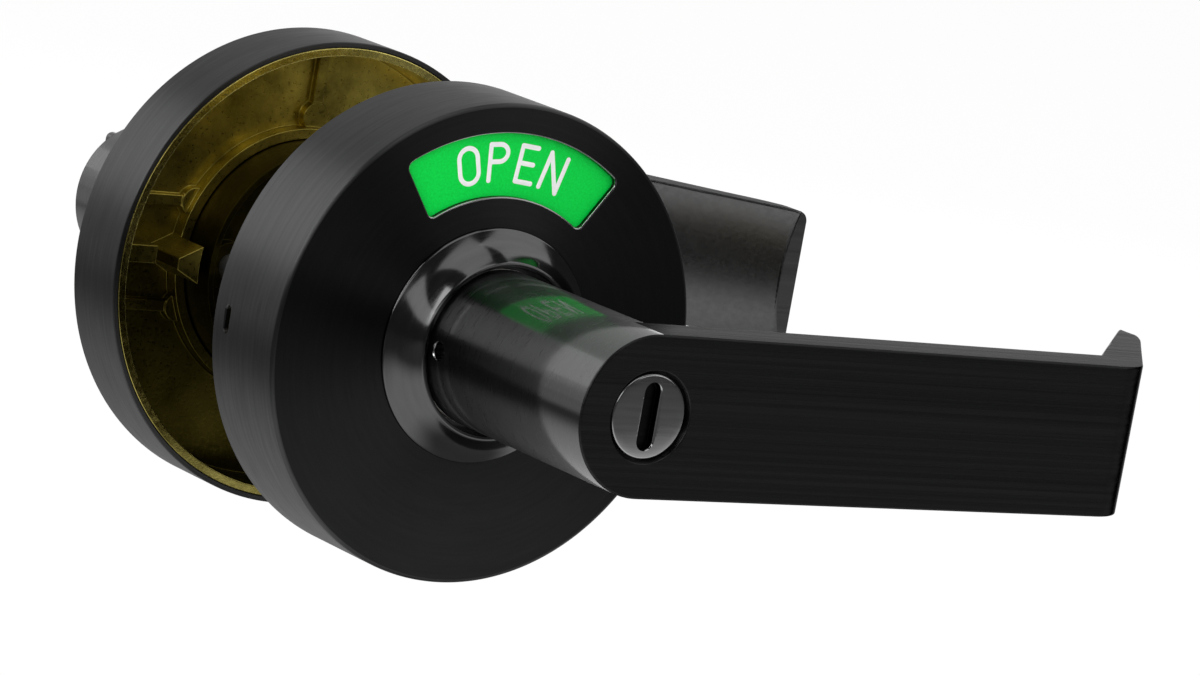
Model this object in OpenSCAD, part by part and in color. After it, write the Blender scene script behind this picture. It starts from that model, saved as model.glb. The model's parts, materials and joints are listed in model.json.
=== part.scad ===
// Privacy door lock: two round lever trims with an in-use indicator, drawn in its own frame.
// The lock's axis is Y, the levers point along +X, and the origin lies mid-way through the door.
// Each side is drawn flat, from the door outwards along +Z, and then turned onto its side of the door.

/* [Door] */
// Thickness of the door, which is the space between the two trims
door_t = 36.5; // [32:0.5:48]

/* [Trims] */
// Diameter of the round trims
trim_d = 88.9; // [86:0.1:96]
// Depth of the outside trim, from the door to its face
outside_depth = 21; // [21:0.5:26]
// Depth of the inside trim, from the door to its face
inside_depth = 15.5; // [15.5:0.5:20]
// Thickness of the pressed covers
cover_t = 1; // [0.8:0.1:1.2]
// Radius of the edge round a cover's face
cover_edge_r = 0.7; // [0.4:0.1:0.7]
// Wall of the cast base inside each cover
base_wall = 1.6; // [1.2:0.1:2.4]
// Floor of the cast base
base_floor = 2; // [1.6:0.1:2.4]
// Length of the prying slot in a cover's rim
pry_l = 5; // [3:0.1:6]
// Width of the prying slot
pry_w = 1.6; // [1:0.1:2]

/* [Collars] */
// Radius of a collar where it meets the cover's face
collar_r = 21.8; // [20:0.1:24]
// Height of a collar above the cover's face
collar_h = 5.4; // [5:0.1:8]
// Width of the flat lip round a collar's mouth
collar_lip = 0.9; // [0.6:0.1:1.2]
// Radius of the collar's spigot, which goes through the cover
spigot_r = 17; // [16.5:0.1:18]

/* [Levers] */
// Distance from a cover's face to the front of the lever
lever_standoff = 54; // [46:0.5:60]
// Radius of the lever's round shank
shank_r = 14.7; // [14:0.1:15]
// Height of the blade at its free end
blade_end_h = 28; // [24:0.1:29]
// Thickness of the blade at its edges
blade_t = 10.1; // [8:0.1:12]
// Extra thickness of the rounded back at mid height
blade_crown = 2; // [1:0.1:3]
// Distance from the axis to the bend that starts the return
bend_x = 103.7; // [80:0.1:120]
// Radius of that bend on the front of the lever
bend_r = 9; // [6:0.5:12]
// Angle of the return's outer face from the blade
return_outer_a = 51.7; // [45:0.1:60]
// Angle of the return's inner face from the blade
return_inner_a = 46; // [40:0.1:50]
// Distance from the axis to the inner corner of the return
return_x = 106.4; // [84:0.1:122]
// Depth of the return's tip behind the lever's front
return_depth = 38; // [30:0.1:42]
// Radius that curves the return's outer face towards its tip
tip_r = 29; // [24:0.5:32]
// Angle of the outer face at the tip
tip_a = 76; // [70:0.1:80]
// Radius of the end's corners, seen from the front
blade_corner_r = 2.4; // [1:0.1:4]
// Turn of a lever to each side
lever_swing = 50; // [35:1:52]

/* [Spindles] */
// Outer radius of the tube spindles
spindle_r = 10.5; // [10:0.1:10.8]
// Wall of the tube spindles
spindle_wall = 2.1; // [1.8:0.1:2.3]
// Length of a spindle's free end inside the door
spindle_end = 13; // [8:0.5:13.5]
// Width of the keys and their slots
key_w = 3; // [2.5:0.1:4]
// Depth of the keys into the tube
key_depth = 1.2; // [0.8:0.1:1.6]

/* [Lever catch] */
// Radius of the release hole in the shank
release_r = 1.6; // [1.3:0.1:1.9]
// Distance from the collar's mouth to the release hole
release_z = 2.2; // [1.9:0.1:3]
// How far the catch's nose stays below the shank's skin
catch_sink = 1.3; // [1:0.1:1.6]

/* [Spring cage] */
// Outer radius of the spring cage
cage_r = 23.9; // [23.5:0.1:25]
// Wall of the cage
cage_wall = 1.2; // [1:0.1:1.6]
// How far the cage stands back from the door's face
cage_recess = 0.8; // [0.5:0.1:2]
// Thickness of the web
web_t = 1.6; // [1.2:0.1:1.8]
// Radius of the wire of the return springs
spring_wire_r = 0.6; // [0.5:0.05:0.65]
// Mean radius of the return springs' coils
spring_r = 12.7; // [12.4:0.1:13]
// Gap between neighbouring turns
spring_gap = 0.5; // [0.45:0.05:0.6]
// Whole turns of a return spring
spring_turns = 2; // [1:1:2]
// Thickness of the drive plates
drive_t = 1.2; // [1:0.1:1.3]

/* [Fasteners] */
// Distance between the two through bolts
bolt_spacing = 38.1; // [38.1:0.1:39.5]
// Radius of the through bolts
bolt_r = 2.4; // [2:0.1:2.6]
// Outer radius of the threaded posts
post_r = 3.2; // [3.1:0.1:3.5]
// Length of the posts beyond the outside cage
post_l = 14; // [8:0.5:18]
// Outer radius of the bosses that the bolts pass
boss_r = 4.6; // [4.3:0.1:4.8]
// Radius of the cage screws
screw_r = 1.5; // [1.2:0.1:1.7]

/* [Privacy turn] */
// Turn of the thumb turn, which also turns the indicator
turn_swing = 90; // [60:1:90]
// Radius of the round heads in the lever faces
turn_head_r = 7.7; // [7:0.1:7.9]
// Radius of the hole that a head sits in
turn_hole_r = 8.25; // [8.2:0.05:9]
// Depth of that hole
turn_hole_depth = 3.2; // [2.6:0.1:4]
// Radius of the stems behind the heads
stem_r = 5.5; // [5:0.1:6]
// Length of the stems' bearing in the lever
stem_bearing = 8; // [6:0.5:10]
// Width of the turn bar
bar_w = 6; // [5:0.1:6.4]
// Thickness of the turn bar
bar_t = 2.4; // [2:0.1:2.6]
// Height of the thumb turn's wing
wing_h = 21; // [17:0.5:26]
// Thickness of the wing
wing_t = 5.6; // [4:0.1:7]
// How far the wing stands out of the lever's face
wing_l = 13; // [8:0.5:16]
// Radius of the wing's corners
wing_corner_r = 1.4; // [0.8:0.1:1.8]
// Length of the coin slot
coin_slot_l = 12; // [8:0.1:13]
// Width of the coin slot
coin_slot_w = 3.2; // [2:0.1:3.6]
// Depth of the coin slot
coin_slot_depth = 1.7; // [1:0.1:2.4]

/* [Indicator] */
// Distance from the collar to the window
window_gap = 5.6; // [5.4:0.1:7]
// Width of the cover's face outside the window
window_margin = 5.45; // [5.45:0.05:8]
// Half of the window's angle
window_half_a = 35.8; // [30:0.1:38]
// Radius of the window's corners
window_corner_r = 1.3; // [0.6:0.1:2]
// Thickness of the indicator disc
disc_t = 1; // [0.8:0.1:1.2]
// Thickness of the coloured sectors
sector_t = 0.2; // [0.1:0.05:0.2]
// How far a sector reaches past the window
sector_past = 0.8; // [0.4:0.1:1.2]

/* [Dog] */
// Travel of the dog that blocks the outside lever
dog_travel = 2.6; // [2:0.1:2.6]
// Width of the dog
dog_w = 5; // [4:0.1:6]
// Thickness of the dog
dog_t = 2.2; // [1.8:0.1:2.4]
// Radius of the dog's pin in the disc's spiral slot
dog_pin_r = 1; // [0.8:0.1:1.2]

/* [Hidden] */
$fn = 96;

// Clearances: a running fit, a sliding fit, the round face of a part set into another, and room beside a face
run_c = 0.06;
slide_c = 0.1;
set_c = 0.05;
face_c = 0.2;
// A length that carries a cut clean through a face
cut = 1;

// Covers and bases
trim_r = trim_d / 2;
base_r = trim_r - cover_t - set_c;
pry_land = 3.6;
pry_z = pry_w / 2 + pry_land;
pry_low = 1.5;

// Radii round the spindle
spindle_in = spindle_r - spindle_wall;
bush_wall = 1.6;
bush_r = spindle_r + bush_wall;
mouth_gap = 0.9;
mouth_r = shank_r + mouth_gap;
pocket_gap = 0.9;
pocket_r = spring_r + spring_wire_r + pocket_gap;
tab_gap = 1.2;
tab_r1 = spring_r + spring_wire_r + tab_gap;
tab_depth = 2.6;
tab_r2 = tab_r1 + tab_depth;
tab_w = 4;
leg_past = 2.4;
leg_r = tab_r2 + leg_past;
lock_gap = 0.65;
lock_r = bolt_spacing / 2 - post_r - lock_gap;
notch_r = lock_r - dog_travel;
notch_side = 0.25;
leg_off = tab_w / 2 + spring_wire_r + slide_c;
leg_bend_r = 1.2;
stop_a = lever_swing + asin((leg_off + spring_wire_r) / tab_r1) + 0.5;

// The return springs' heights
spring_pitch = 2 * spring_wire_r + spring_gap;
spring_rise = spring_pitch * spring_sweep() / 360;
spring_h = spring_rise + 2 * spring_wire_r;

// Heights above the door: the disc's room lies between the outside base's floor and the cover
under_disc = 0.3;
disc_room = under_disc + disc_t + sector_t + slide_c;
outside_floor_top = outside_depth - cover_t - disc_room;
inside_floor_top = inside_depth - cover_t;
disc_z = outside_floor_top + under_disc;
over_dog = 0.8;
dog_z = outside_floor_top - base_floor - dog_t - over_dog;
lock_t = dog_t + face_c;

// Each side's stack of plate, spring and web hangs below its base's floor, and is counted down from here
outside_stack = dog_z - 3 * face_c / 2;
inside_stack = inside_floor_top - base_floor - face_c;
function drive_z(stack) = stack - drive_t;
function spring_z(stack) = drive_z(stack) - face_c - spring_h;
function pocket_z(stack) = spring_z(stack) - face_c;
function web_z(stack) = pocket_z(stack) - web_t;
function ring_z(stack) = web_z(stack) - face_c - ring_t;

// The shank starts above the bush's flange, and the spindle ends inside it
bush_flange_t = 0.8;
bush_l = 1.6;
shank_gap = 0.3;
spindle_below_front = 17;
spindle_in_lever = lever_standoff - spindle_below_front;
lever_key_l = 14;
key_root = 0.6;
end_slot_l = 5;

// Snap rings, on the door side of the cages' webs
ring_t = 1;
ring_groove = 0.7;
ring_gap = 4;

// Catch
catch_w = 4.4;
catch_block_t = 2.9;
catch_block_sink = 0.3;
catch_block_out = spindle_r - catch_block_sink;
nose_r = release_r - slide_c;
nose_root = 0.5;
leaf_t = 0.5;
leaf_a = 100;

// Turn pieces, measured back from the lever's front
head_gap = 0.05;
head_t = turn_hole_depth - head_gap;
stem_back = turn_hole_depth + stem_bearing;
clip_t = 0.8;
clip_gap = 0.3;
stem_past_clip = 1.6;
stem_end = stem_back + clip_gap + clip_t + stem_past_clip;
clip_groove = 0.7;
clip_out = 1.3;
clip_opening = 3;
bar_hold = 8;
head_rim = 1.2;
dome_rise = 0.4;
dome_sink = 0.2;

// Indicator: the window lies between the collar and the rim
window_r1 = collar_r + window_gap;
window_r2 = trim_r - window_margin;
sector_a = window_half_a + 4;
sector_r1 = window_r1 - sector_past;
sector_r2 = window_r2 + sector_past;
disc_past = 0.8;
disc_r = sector_r2 + disc_past;
driver_t = disc_t + 2 * slide_c;
driver_z = disc_z - slide_c;
finger_w = 3;
finger_past = 2.6;
finger_r = spigot_r + finger_past;
finger_a = 45;
finger_room_a = 3;
dog_pin_at = cage_r + slide_c;
dog_nose_gap = 0.4;
dog_nose = lock_r + dog_nose_gap;
dog_past_pin = 3.4;
dog_tail = dog_pin_at + dog_past_pin;
dog_guide_t = 1.4;
pin_c = 0.08;
pin_slot_half = dog_pin_r + pin_c;

// Casting details of the bases: bosses, their ribs, and the blocks by the rim
cast_boss_r = 2.8;
cast_boss_h = 1.8;
top_boss_at = [0, 28.1];
side_boss_at = [-23.3, 10.1];
rib_w = 2.2;
rib_h = 1.5;
hub_wall_t = 2.2;
hub_wall_r = cage_r + hub_wall_t;
hub_wall_h = 3;
lug_root = 1.4;
lug_l = 4.7;
lug_half_w = 4.2;
lug_tip_half_w = 1.1;
block_w = 3.4;
block_l = 7;
block_low = 0.2;

// Bolts, posts and screws
bolt_head_t = 1.3;
bolt_head_r = 1.8 * bolt_r;
bolt_cross_l = 4.4;
bolt_cross_w = 1;
post_wall_end = 4;
bolt_overlap = 9;
screw_l = 5.6;
screw_head_r = 2 * screw_r;
driver_slot = 0.8;

// The rounded back of the blade: a low arc from edge to edge
crown_past = 0.5;
crown_half = shank_r + crown_past;
crown_r = (crown_half * crown_half + blade_crown * blade_crown) / (2 * blade_crown);
crown_in = 1.5;
crown_steps = 20;

black = [0.16, 0.16, 0.165];
polished = [0.28, 0.28, 0.29];
cast_gold = [0.55, 0.48, 0.2];
steel = [0.62, 0.63, 0.65];
spring_steel = [0.4, 0.41, 0.43];
nylon = [0.86, 0.85, 0.8];
disc_grey = [0.75, 0.76, 0.77];
open_green = [0, 0.68, 0.16];
in_use_red = [0.8, 0.06, 0.05];

// Turns what is drawn flat onto the outside of the door, or onto the inside as its mirror image
module outside() { translate([0, -door_t / 2, 0]) rotate([90, 0, 0]) children(); }
module inside() { mirror([0, 1, 0]) outside() children(); }

// Plain shapes
function polar(r, a) = [r * cos(a), r * sin(a)];

module tube(r1, r2, h) {
    difference() {
        cylinder(r = r2, h = h);
        translate([0, 0, -cut]) cylinder(r = r1, h = h + 2 * cut);
    }
}

// A slot's outline with round ends, its length along Y
module obround(w, l) {
    square([w, l - w], center = true);
    for (side = [-1, 1]) translate([0, side * (l - w) / 2]) circle(d = w);
}

// A flat pie of the angle from a1 to a2, out to radius r, in steps that follow the arc
function pie(a1, a2, r) = concat([[0, 0]],
    [for (i = [0:12]) let (a = a1 + (a2 - a1) * i / 12) [cos(a), sin(a)] * r / cos((a2 - a1) / 24)]);

module wedge(a1, a2, r, h) { linear_extrude(height = h) polygon(pie(a1, a2, r)); }

// Part of a ring, between two angles and two radii
module ring_part(a1, a2, r1, r2, h) {
    intersection() {
        tube(r1, r2, h);
        translate([0, 0, -cut / 2]) wedge(a1, a2, r2 + cut, h + cut);
    }
}

module both_sides() { for (side = [-1, 1]) translate([side * bolt_spacing / 2, 0, 0]) children(); }

module screw_places() { for (a = [225, 315]) rotate(a) translate([bolt_spacing / 2, 0, 0]) children(); }

// Covers
module cover_profile(depth) {
    c = trim_r - cover_edge_r;
    polygon(concat([[trim_r - cover_t, 0], [trim_r, 0]],
        [for (i = [0:6]) let (a = 90 * i / 6)
            [c + cover_edge_r * cos(a), depth - cover_edge_r + cover_edge_r * sin(a)]],
        [[spigot_r + run_c, depth], [spigot_r + run_c, depth - cover_t],
         [trim_r - cover_t, depth - cover_t]]));
}

module pry_slot() {
    translate([-trim_r - cut, -pry_low, pry_z]) rotate([0, 90, 0])
        linear_extrude(height = cover_t + 2 * cut) obround(pry_w, pry_l);
}

module cover(depth) {
    difference() {
        rotate_extrude() cover_profile(depth);
        pry_slot();
    }
}

// The window's outline: two arcs, joined at their ends by round corners
function window_corner(r, side, from_a, to_a) = let (c = window_corner_r,
    a = window_half_a - asin(c / r), m = polar(r, 90 + side * a))
    [for (i = [0:5]) m + polar(c, 90 + side * a + from_a + (to_a - from_a) * i / 5)];

function window_arc(r, a1, a2) = [for (i = [1:23]) polar(r, a1 + (a2 - a1) * i / 24)];

module window_cut(h) {
    c = window_corner_r;
    in_a = window_half_a - asin(c / (window_r1 + c));
    out_a = window_half_a - asin(c / (window_r2 - c));
    linear_extrude(height = h) polygon(concat(
        window_corner(window_r1 + c, -1, 180, 270),
        window_corner(window_r2 - c, -1, -90, 0),
        window_arc(window_r2, 90 - out_a, 90 + out_a),
        window_corner(window_r2 - c, 1, 0, 90),
        window_corner(window_r1 + c, 1, 90, 180),
        window_arc(window_r1, 90 + in_a, 90 - in_a)));
}

module outside_cover() {
    color(black) outside() difference() {
        cover(outside_depth);
        translate([0, 0, outside_depth - cover_t - cut]) window_cut(cover_t + 2 * cut);
    }
}

// The inside trim is the outside one's kind, turned about, so its slot is on the other side
module inside_cover() { color(black) inside() mirror([1, 0, 0]) cover(inside_depth); }

// Collars
module collar_profile(depth, floor_top) {
    mouth = depth + collar_h;
    foot = 0.6;
    r_lip = mouth_r + collar_lip;
    run = collar_r - r_lip;
    rise = collar_h - foot;
    sag = 0.45;
    steps = 10;
    polygon(concat(
        [[bush_r, floor_top], [spigot_r, floor_top], [spigot_r, depth], [collar_r, depth]],
        [for (i = [0:steps]) let (t = i / steps)
            [collar_r - run * t - sag * sin(180 * t), depth + foot + rise * t - sag * sin(180 * t)]],
        [[mouth_r, mouth], [mouth_r, depth + bush_l], [bush_r, depth + bush_l]]));
}

module collar(depth, floor_top) { rotate_extrude() collar_profile(depth, floor_top); }

// The outside collar's spigot has a gap that the driver's finger sweeps
module outside_collar() {
    side_a = asin(finger_w / 2 / bush_r) + finger_room_a;
    color(polished) outside() difference() {
        collar(outside_depth, outside_floor_top);
        translate([0, 0, outside_floor_top - cut])
            wedge(finger_a - side_a, finger_a + turn_swing + side_a, spigot_r + cut,
                outside_depth - cover_t - outside_floor_top + cut);
    }
}

module inside_collar() { color(polished) inside() collar(inside_depth, inside_floor_top); }

// Bushes, between collar and spindle
module bush(depth) {
    translate([0, 0, depth - cover_t + face_c])
        tube(spindle_r + run_c, bush_r - set_c, bush_l + cover_t - face_c);
    translate([0, 0, depth + bush_l]) tube(spindle_r + run_c, shank_r, bush_flange_t);
}

module outside_bush() { color(nylon) outside() bush(outside_depth); }
module inside_bush() { color(nylon) inside() bush(inside_depth); }

// Bases
module casting_marks(floor_z) {
    boss_z = floor_z - cast_boss_h;
    rim = base_r - base_wall / 2;
    translate([top_boss_at[0], top_boss_at[1], boss_z]) cylinder(r = cast_boss_r, h = cast_boss_h + cut);
    translate([-rib_w / 2, top_boss_at[1], floor_z - rib_h]) cube([rib_w, rim - top_boss_at[1], rib_h + cut]);
    for (side_x = [-1, 1]) for (side_y = [-1, 1]) {
        x = -side_boss_at[0] * side_x;
        y = side_boss_at[1] * side_y;
        translate([x, y, boss_z]) cylinder(r = cast_boss_r, h = cast_boss_h + cut);
        reach = sqrt(rim * rim - pow(side_boss_at[1] + rib_w, 2)) + side_boss_at[0];
        translate([x - (side_x < 0 ? reach : 0), y - rib_w / 2, floor_z - rib_h])
            cube([reach, rib_w, rib_h + cut]);
    }
}

module rim_block(floor_z) {
    translate([-base_r + base_wall / 2, -block_low, cage_recess])
        cube([block_l, block_w, floor_z - cage_recess + cut]);
}

module lug(floor_z) {
    root = -hub_wall_r + lug_root;
    tip = -hub_wall_r - lug_l;
    translate([0, 0, cage_recess]) linear_extrude(height = floor_z - cage_recess + cut)
        difference() {
            polygon([[root, lug_half_w], [tip, lug_tip_half_w], [tip, -lug_tip_half_w], [root, -lug_half_w]]);
            circle(r = hub_wall_r);
        }
}

// A base: its wall and floor, the hub wall round the cage, and what the casting carries
module base(floor_top) {
    floor_z = floor_top - base_floor;
    difference() {
        union() {
            tube(base_r - base_wall, base_r, floor_top);
            translate([0, 0, floor_z]) cylinder(r = base_r - base_wall / 2, h = base_floor);
            translate([0, 0, floor_z - hub_wall_h]) tube(cage_r + slide_c, hub_wall_r, hub_wall_h + cut);
            casting_marks(floor_z);
            rim_block(floor_z);
            rotate(180) rim_block(floor_z);
            lug(floor_z);
            rotate(180) lug(floor_z);
        }
        translate([0, 0, -cut]) cylinder(r = cage_r + slide_c, h = floor_z + cut);
        translate([0, 0, -cut]) cylinder(r = spindle_r + run_c, h = floor_top + 2 * cut);
        translate([0, 0, floor_top]) cylinder(r = base_r + cut, h = 3 * cut);
        screw_places() {
            translate([0, 0, floor_z - cut]) cylinder(r = screw_r + run_c, h = base_floor + 2 * cut);
            translate([0, 0, floor_top - screw_r]) cylinder(r = screw_head_r + run_c, h = screw_r + cut);
        }
    }
}

module outside_base() {
    floor_z = outside_floor_top - base_floor;
    slot_w = 2 * dog_pin_r + 2 * face_c;
    guide_at = dog_w / 2 + slide_c + dog_guide_t / 2;
    color(cast_gold) outside() difference() {
        union() {
            base(outside_floor_top);
            for (side = [-1, 1])
                translate([side * guide_at - dog_guide_t / 2, -dog_tail - dog_travel, dog_z])
                    cube([dog_guide_t, dog_tail + dog_travel - dog_pin_at, floor_z - dog_z + cut / 2]);
        }
        translate([-slot_w / 2, -dog_pin_at - slot_w / 2, floor_z - cut])
            cube([slot_w, dog_travel + slot_w, base_floor + 2 * cut]);
        translate([-dog_w / 2 - run_c, -dog_tail - cut, dog_z - face_c])
            cube([dog_w + 2 * run_c, dog_tail, dog_t + 2 * face_c]);
    }
}

module inside_base() {
    floor_z = inside_floor_top - base_floor;
    seat_z = inside_floor_top - bolt_head_t - slide_c;
    color(cast_gold) inside() difference() {
        base(inside_floor_top);
        both_sides() {
            translate([0, 0, floor_z - cut]) cylinder(r = bolt_r + set_c, h = base_floor + 2 * cut);
            translate([0, 0, seat_z]) cylinder(r = bolt_head_r + slide_c, h = bolt_head_t + cut);
        }
    }
}

// Cages: a ring with a web, the spring's pocket behind it, and bosses for the bolts
module cage(floor_z, stack, bolt_hole_r) {
    height = floor_z - cage_recess;
    web = web_z(stack);
    pocket = pocket_z(stack);
    difference() {
        union() {
            translate([0, 0, cage_recess]) tube(cage_r - cage_wall, cage_r, height);
            translate([0, 0, web]) cylinder(r = cage_r - cage_wall / 2, h = floor_z - web);
            both_sides() translate([0, 0, cage_recess + 1]) cylinder(r = boss_r, h = web - cage_recess);
        }
        translate([0, 0, -cut]) cylinder(r = spindle_r + run_c, h = floor_z + 2 * cut);
        translate([0, 0, pocket]) cylinder(r = pocket_r, h = floor_z);
        translate([0, 0, pocket]) difference() {
            wedge(90 - stop_a, 90 + stop_a, leg_r + 0.4, floor_z);
            translate([-tab_w / 2, tab_r2 + 0.5, -cut]) cube([tab_w, cage_r, floor_z + 2 * cut]);
        }
        both_sides() translate([0, 0, -cut]) cylinder(r = bolt_hole_r, h = floor_z + 2 * cut);
        screw_places() translate([0, 0, floor_z - screw_l - 0.4]) cylinder(r = screw_r, h = screw_l + cut);
    }
}

module outside_cage() {
    floor_z = outside_floor_top - base_floor;
    color(cast_gold) outside() difference() {
        cage(floor_z, outside_stack, post_r);
        translate([0, 0, dog_z - 3 * face_c]) cylinder(r = lock_r + 0.3, h = floor_z);
        translate([-dog_w / 2 - run_c, -cage_r - cut, dog_z - face_c])
            cube([dog_w + 2 * run_c, cage_r, floor_z]);
    }
}

module inside_cage() {
    color(cast_gold) inside() cage(inside_floor_top - base_floor, inside_stack, bolt_r + set_c);
}

// Flat-headed screws that hold a cage to its base
module cage_screws(floor_top) {
    screw_places() {
        translate([0, 0, floor_top - base_floor - screw_l])
            cylinder(r = screw_r, h = base_floor + screw_l - screw_r + slide_c);
        translate([0, 0, floor_top - screw_r]) difference() {
            cylinder(r = screw_head_r, h = screw_r - slide_c);
            translate([-driver_slot / 2, -screw_head_r - cut, screw_r - slide_c - driver_slot])
                cube([driver_slot, 2 * (screw_head_r + cut), driver_slot + cut]);
        }
    }
}

module outside_cage_screws() { color(steel) outside() cage_screws(outside_floor_top); }
module inside_cage_screws() { color(steel) inside() cage_screws(inside_floor_top); }

// Return springs: a wound wire with a leg out at each end, swept along computed points. Each leg runs
// beside the plate's tab and turns into the coil through a small bend
function spring_bend_a() = asin((leg_off - leg_bend_r) / spring_r);
function spring_sweep() = 360 * spring_turns + 2 * spring_bend_a();
function spring_leg(side, z) = let (c = [side * (leg_off - leg_bend_r), spring_r + leg_bend_r])
    [[side * leg_off, leg_r, z],
     for (i = [0:3]) let (a = 30 * i)
         [c[0] + side * leg_bend_r * cos(a), c[1] + 0.2 - leg_bend_r * sin(a), z]];
function reversed(p) = [for (i = [len(p) - 1:-1:0]) p[i]];
function spring_path() = let (steps = 24 * spring_turns) concat(
    spring_leg(1, 0),
    [for (i = [1:steps - 1])
        polar3(spring_r, 90 - spring_bend_a() + spring_sweep() * i / steps, spring_rise * i / steps)],
    reversed(spring_leg(-1, spring_rise)));

function polar3(r, a, z) = [r * cos(a), r * sin(a), z];

// Rings of points square to a path, and the skin over them
function unit(v) = v / norm(v);
function path_dir(p, i) = unit(p[min(i + 1, len(p) - 1)] - p[max(i - 1, 0)]);
function ring_points(c, d, r, n) = let (up = abs(d[2]) > 0.9 ? [1, 0, 0] : [0, 0, 1],
    u = unit(cross(d, up)), v = cross(u, d))
    [for (k = [0:n - 1]) c + r * (cos(360 * k / n) * u + sin(360 * k / n) * v)];

module swept_wire(p, r, n = 6) {
    rings = len(p);
    points = [for (i = [0:rings - 1]) each ring_points(p[i], path_dir(p, i), r, n)];
    skin = [for (i = [0:rings - 2]) for (k = [0:n - 1]) let (a = i * n + k, b = i * n + (k + 1) % n)
        each [[a, b, b + n], [a, b + n, a + n]]];
    first = [for (k = [1:n - 2]) [0, k + 1, k]];
    last = [for (k = [1:n - 2]) let (o = (rings - 1) * n) [o, o + k, o + k + 1]];
    polyhedron(points = points, faces = concat(skin, first, last));
}

module return_spring(stack) {
    translate([0, 0, spring_z(stack) + spring_wire_r]) swept_wire(spring_path(), spring_wire_r);
}

module outside_spring() { color(spring_steel) outside() return_spring(outside_stack); }
module inside_spring() { color(spring_steel) inside() return_spring(inside_stack); }

// Drive plates, keyed to the spindles, with the tab that winds the spring
module drive_plate(stack) {
    tab_l = spring_h + face_c;
    tab_root = spindle_r + 1;
    translate([0, 0, drive_z(stack)]) {
        tube(spindle_r + set_c, pocket_r - 0.4, drive_t);
        rotate(180) key(drive_t);
        translate([-tab_w / 2, tab_root, 0]) cube([tab_w, tab_r2 - tab_root, drive_t]);
    }
    translate([-tab_w / 2, tab_r1, drive_z(stack) - tab_l]) cube([tab_w, tab_r2 - tab_r1, tab_l + drive_t]);
}

// A key from the bore of a plate into the slot of the spindle
module key(h) { translate([spindle_r - key_depth, -key_w / 2, 0]) cube([key_depth + key_root, key_w, h]); }

module outside_drive_plate() { color(steel) outside() drive_plate(outside_stack); }
module inside_drive_plate() { color(steel) inside() drive_plate(inside_stack); }

// The notched ring on the outside spindle: the dog finds a notch at rest and at either stop
module lock_ring() {
    color(steel) outside() translate([0, 0, dog_z - face_c / 2]) {
        difference() {
            tube(spindle_r + set_c, lock_r, lock_t);
            for (a = [-lever_swing, 0, lever_swing]) rotate(270 + a)
                translate([notch_r - face_c, -dog_w / 2 - notch_side, -cut])
                    cube([lock_r, dog_w + 2 * notch_side, lock_t + 2 * cut]);
        }
        key(lock_t);
    }
}

// Spindles: tubes with key slots, a slot for the catch, a snap ring's groove and two driving slots at the end
module spindle(depth, stack) {
    top = depth + spindle_in_lever;
    catch_z = depth + collar_h + release_z;
    difference() {
        translate([0, 0, -spindle_end]) tube(spindle_in, spindle_r, spindle_end + top);
        rotate(180) key_slot(drive_z(stack), drive_t);
        key_slot(top - lever_key_l, lever_key_l + cut);
        translate([-spindle_r - cut, -catch_w / 2, catch_z - catch_w / 2])
            cube([spindle_wall + 2 * cut, catch_w, catch_w]);
        translate([0, 0, ring_z(stack)]) tube(spindle_r - ring_groove, spindle_r + cut, ring_t);
        for (a = [90, 270]) rotate(a) translate([spindle_in - cut, -key_w / 2, -spindle_end - cut])
            cube([spindle_wall + 2 * cut, key_w, end_slot_l + cut]);
    }
}

module key_slot(z, h) { translate([spindle_r - key_depth, -key_w / 2, z]) cube([key_depth + cut, key_w, h]); }

module outside_spindle() {
    side_a = asin(finger_w / 2 / spindle_r) + finger_room_a;
    color(steel) outside() difference() {
        spindle(outside_depth, outside_stack);
        translate([0, 0, driver_z - face_c])
            wedge(finger_a - lever_swing - side_a, finger_a + turn_swing + lever_swing + side_a,
                spindle_r + cut, driver_t + 2 * face_c);
        key_slot(dog_z - face_c / 2, lock_t);
    }
}

module inside_spindle() { color(steel) inside() spindle(inside_depth, inside_stack); }

module spindle_ring(stack) {
    translate([0, 0, ring_z(stack)]) difference() {
        tube(spindle_r - ring_groove + set_c, bush_r, ring_t);
        rotate(-90) translate([0, -ring_gap / 2, -cut]) cube([bush_r + cut, ring_gap, ring_t + 2 * cut]);
    }
}

module outside_spindle_ring() { color(spring_steel) outside() spindle_ring(outside_stack); }
module inside_spindle_ring() { color(spring_steel) inside() spindle_ring(inside_stack); }

// Blade, seen from the front: it leaves the shank's sides and narrows to its end
module blade_front_shape() {
    root = shank_r - 0.02;
    half = blade_end_h / 2;
    end_x = lever_reach() + blade_corner_r;
    end_half = root - (root - half) * end_x / lever_reach();
    polygon([[0, root], [end_x, end_half], [end_x, -end_half], [0, -root]]);
}

// Lever, seen from above, with the front along the X axis and the door behind it: the front, the bend,
// the return's outer face, its tip and its inner face
function bend_end() = [bend_x + bend_r * sin(return_outer_a), -bend_r * (1 - cos(return_outer_a))];
function tip_arc_depth() = tip_r * (cos(return_outer_a) - cos(tip_a));
function tip_arc_run() = tip_r * (sin(tip_a) - sin(return_outer_a));
function outer_run() = (return_depth - tip_arc_depth() + bend_end()[1]) / tan(return_outer_a);
function lever_reach() = bend_end()[0] + outer_run() + tip_arc_run();
function return_tip_x() = return_x + (return_depth - blade_t) / tan(return_inner_a);

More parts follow.
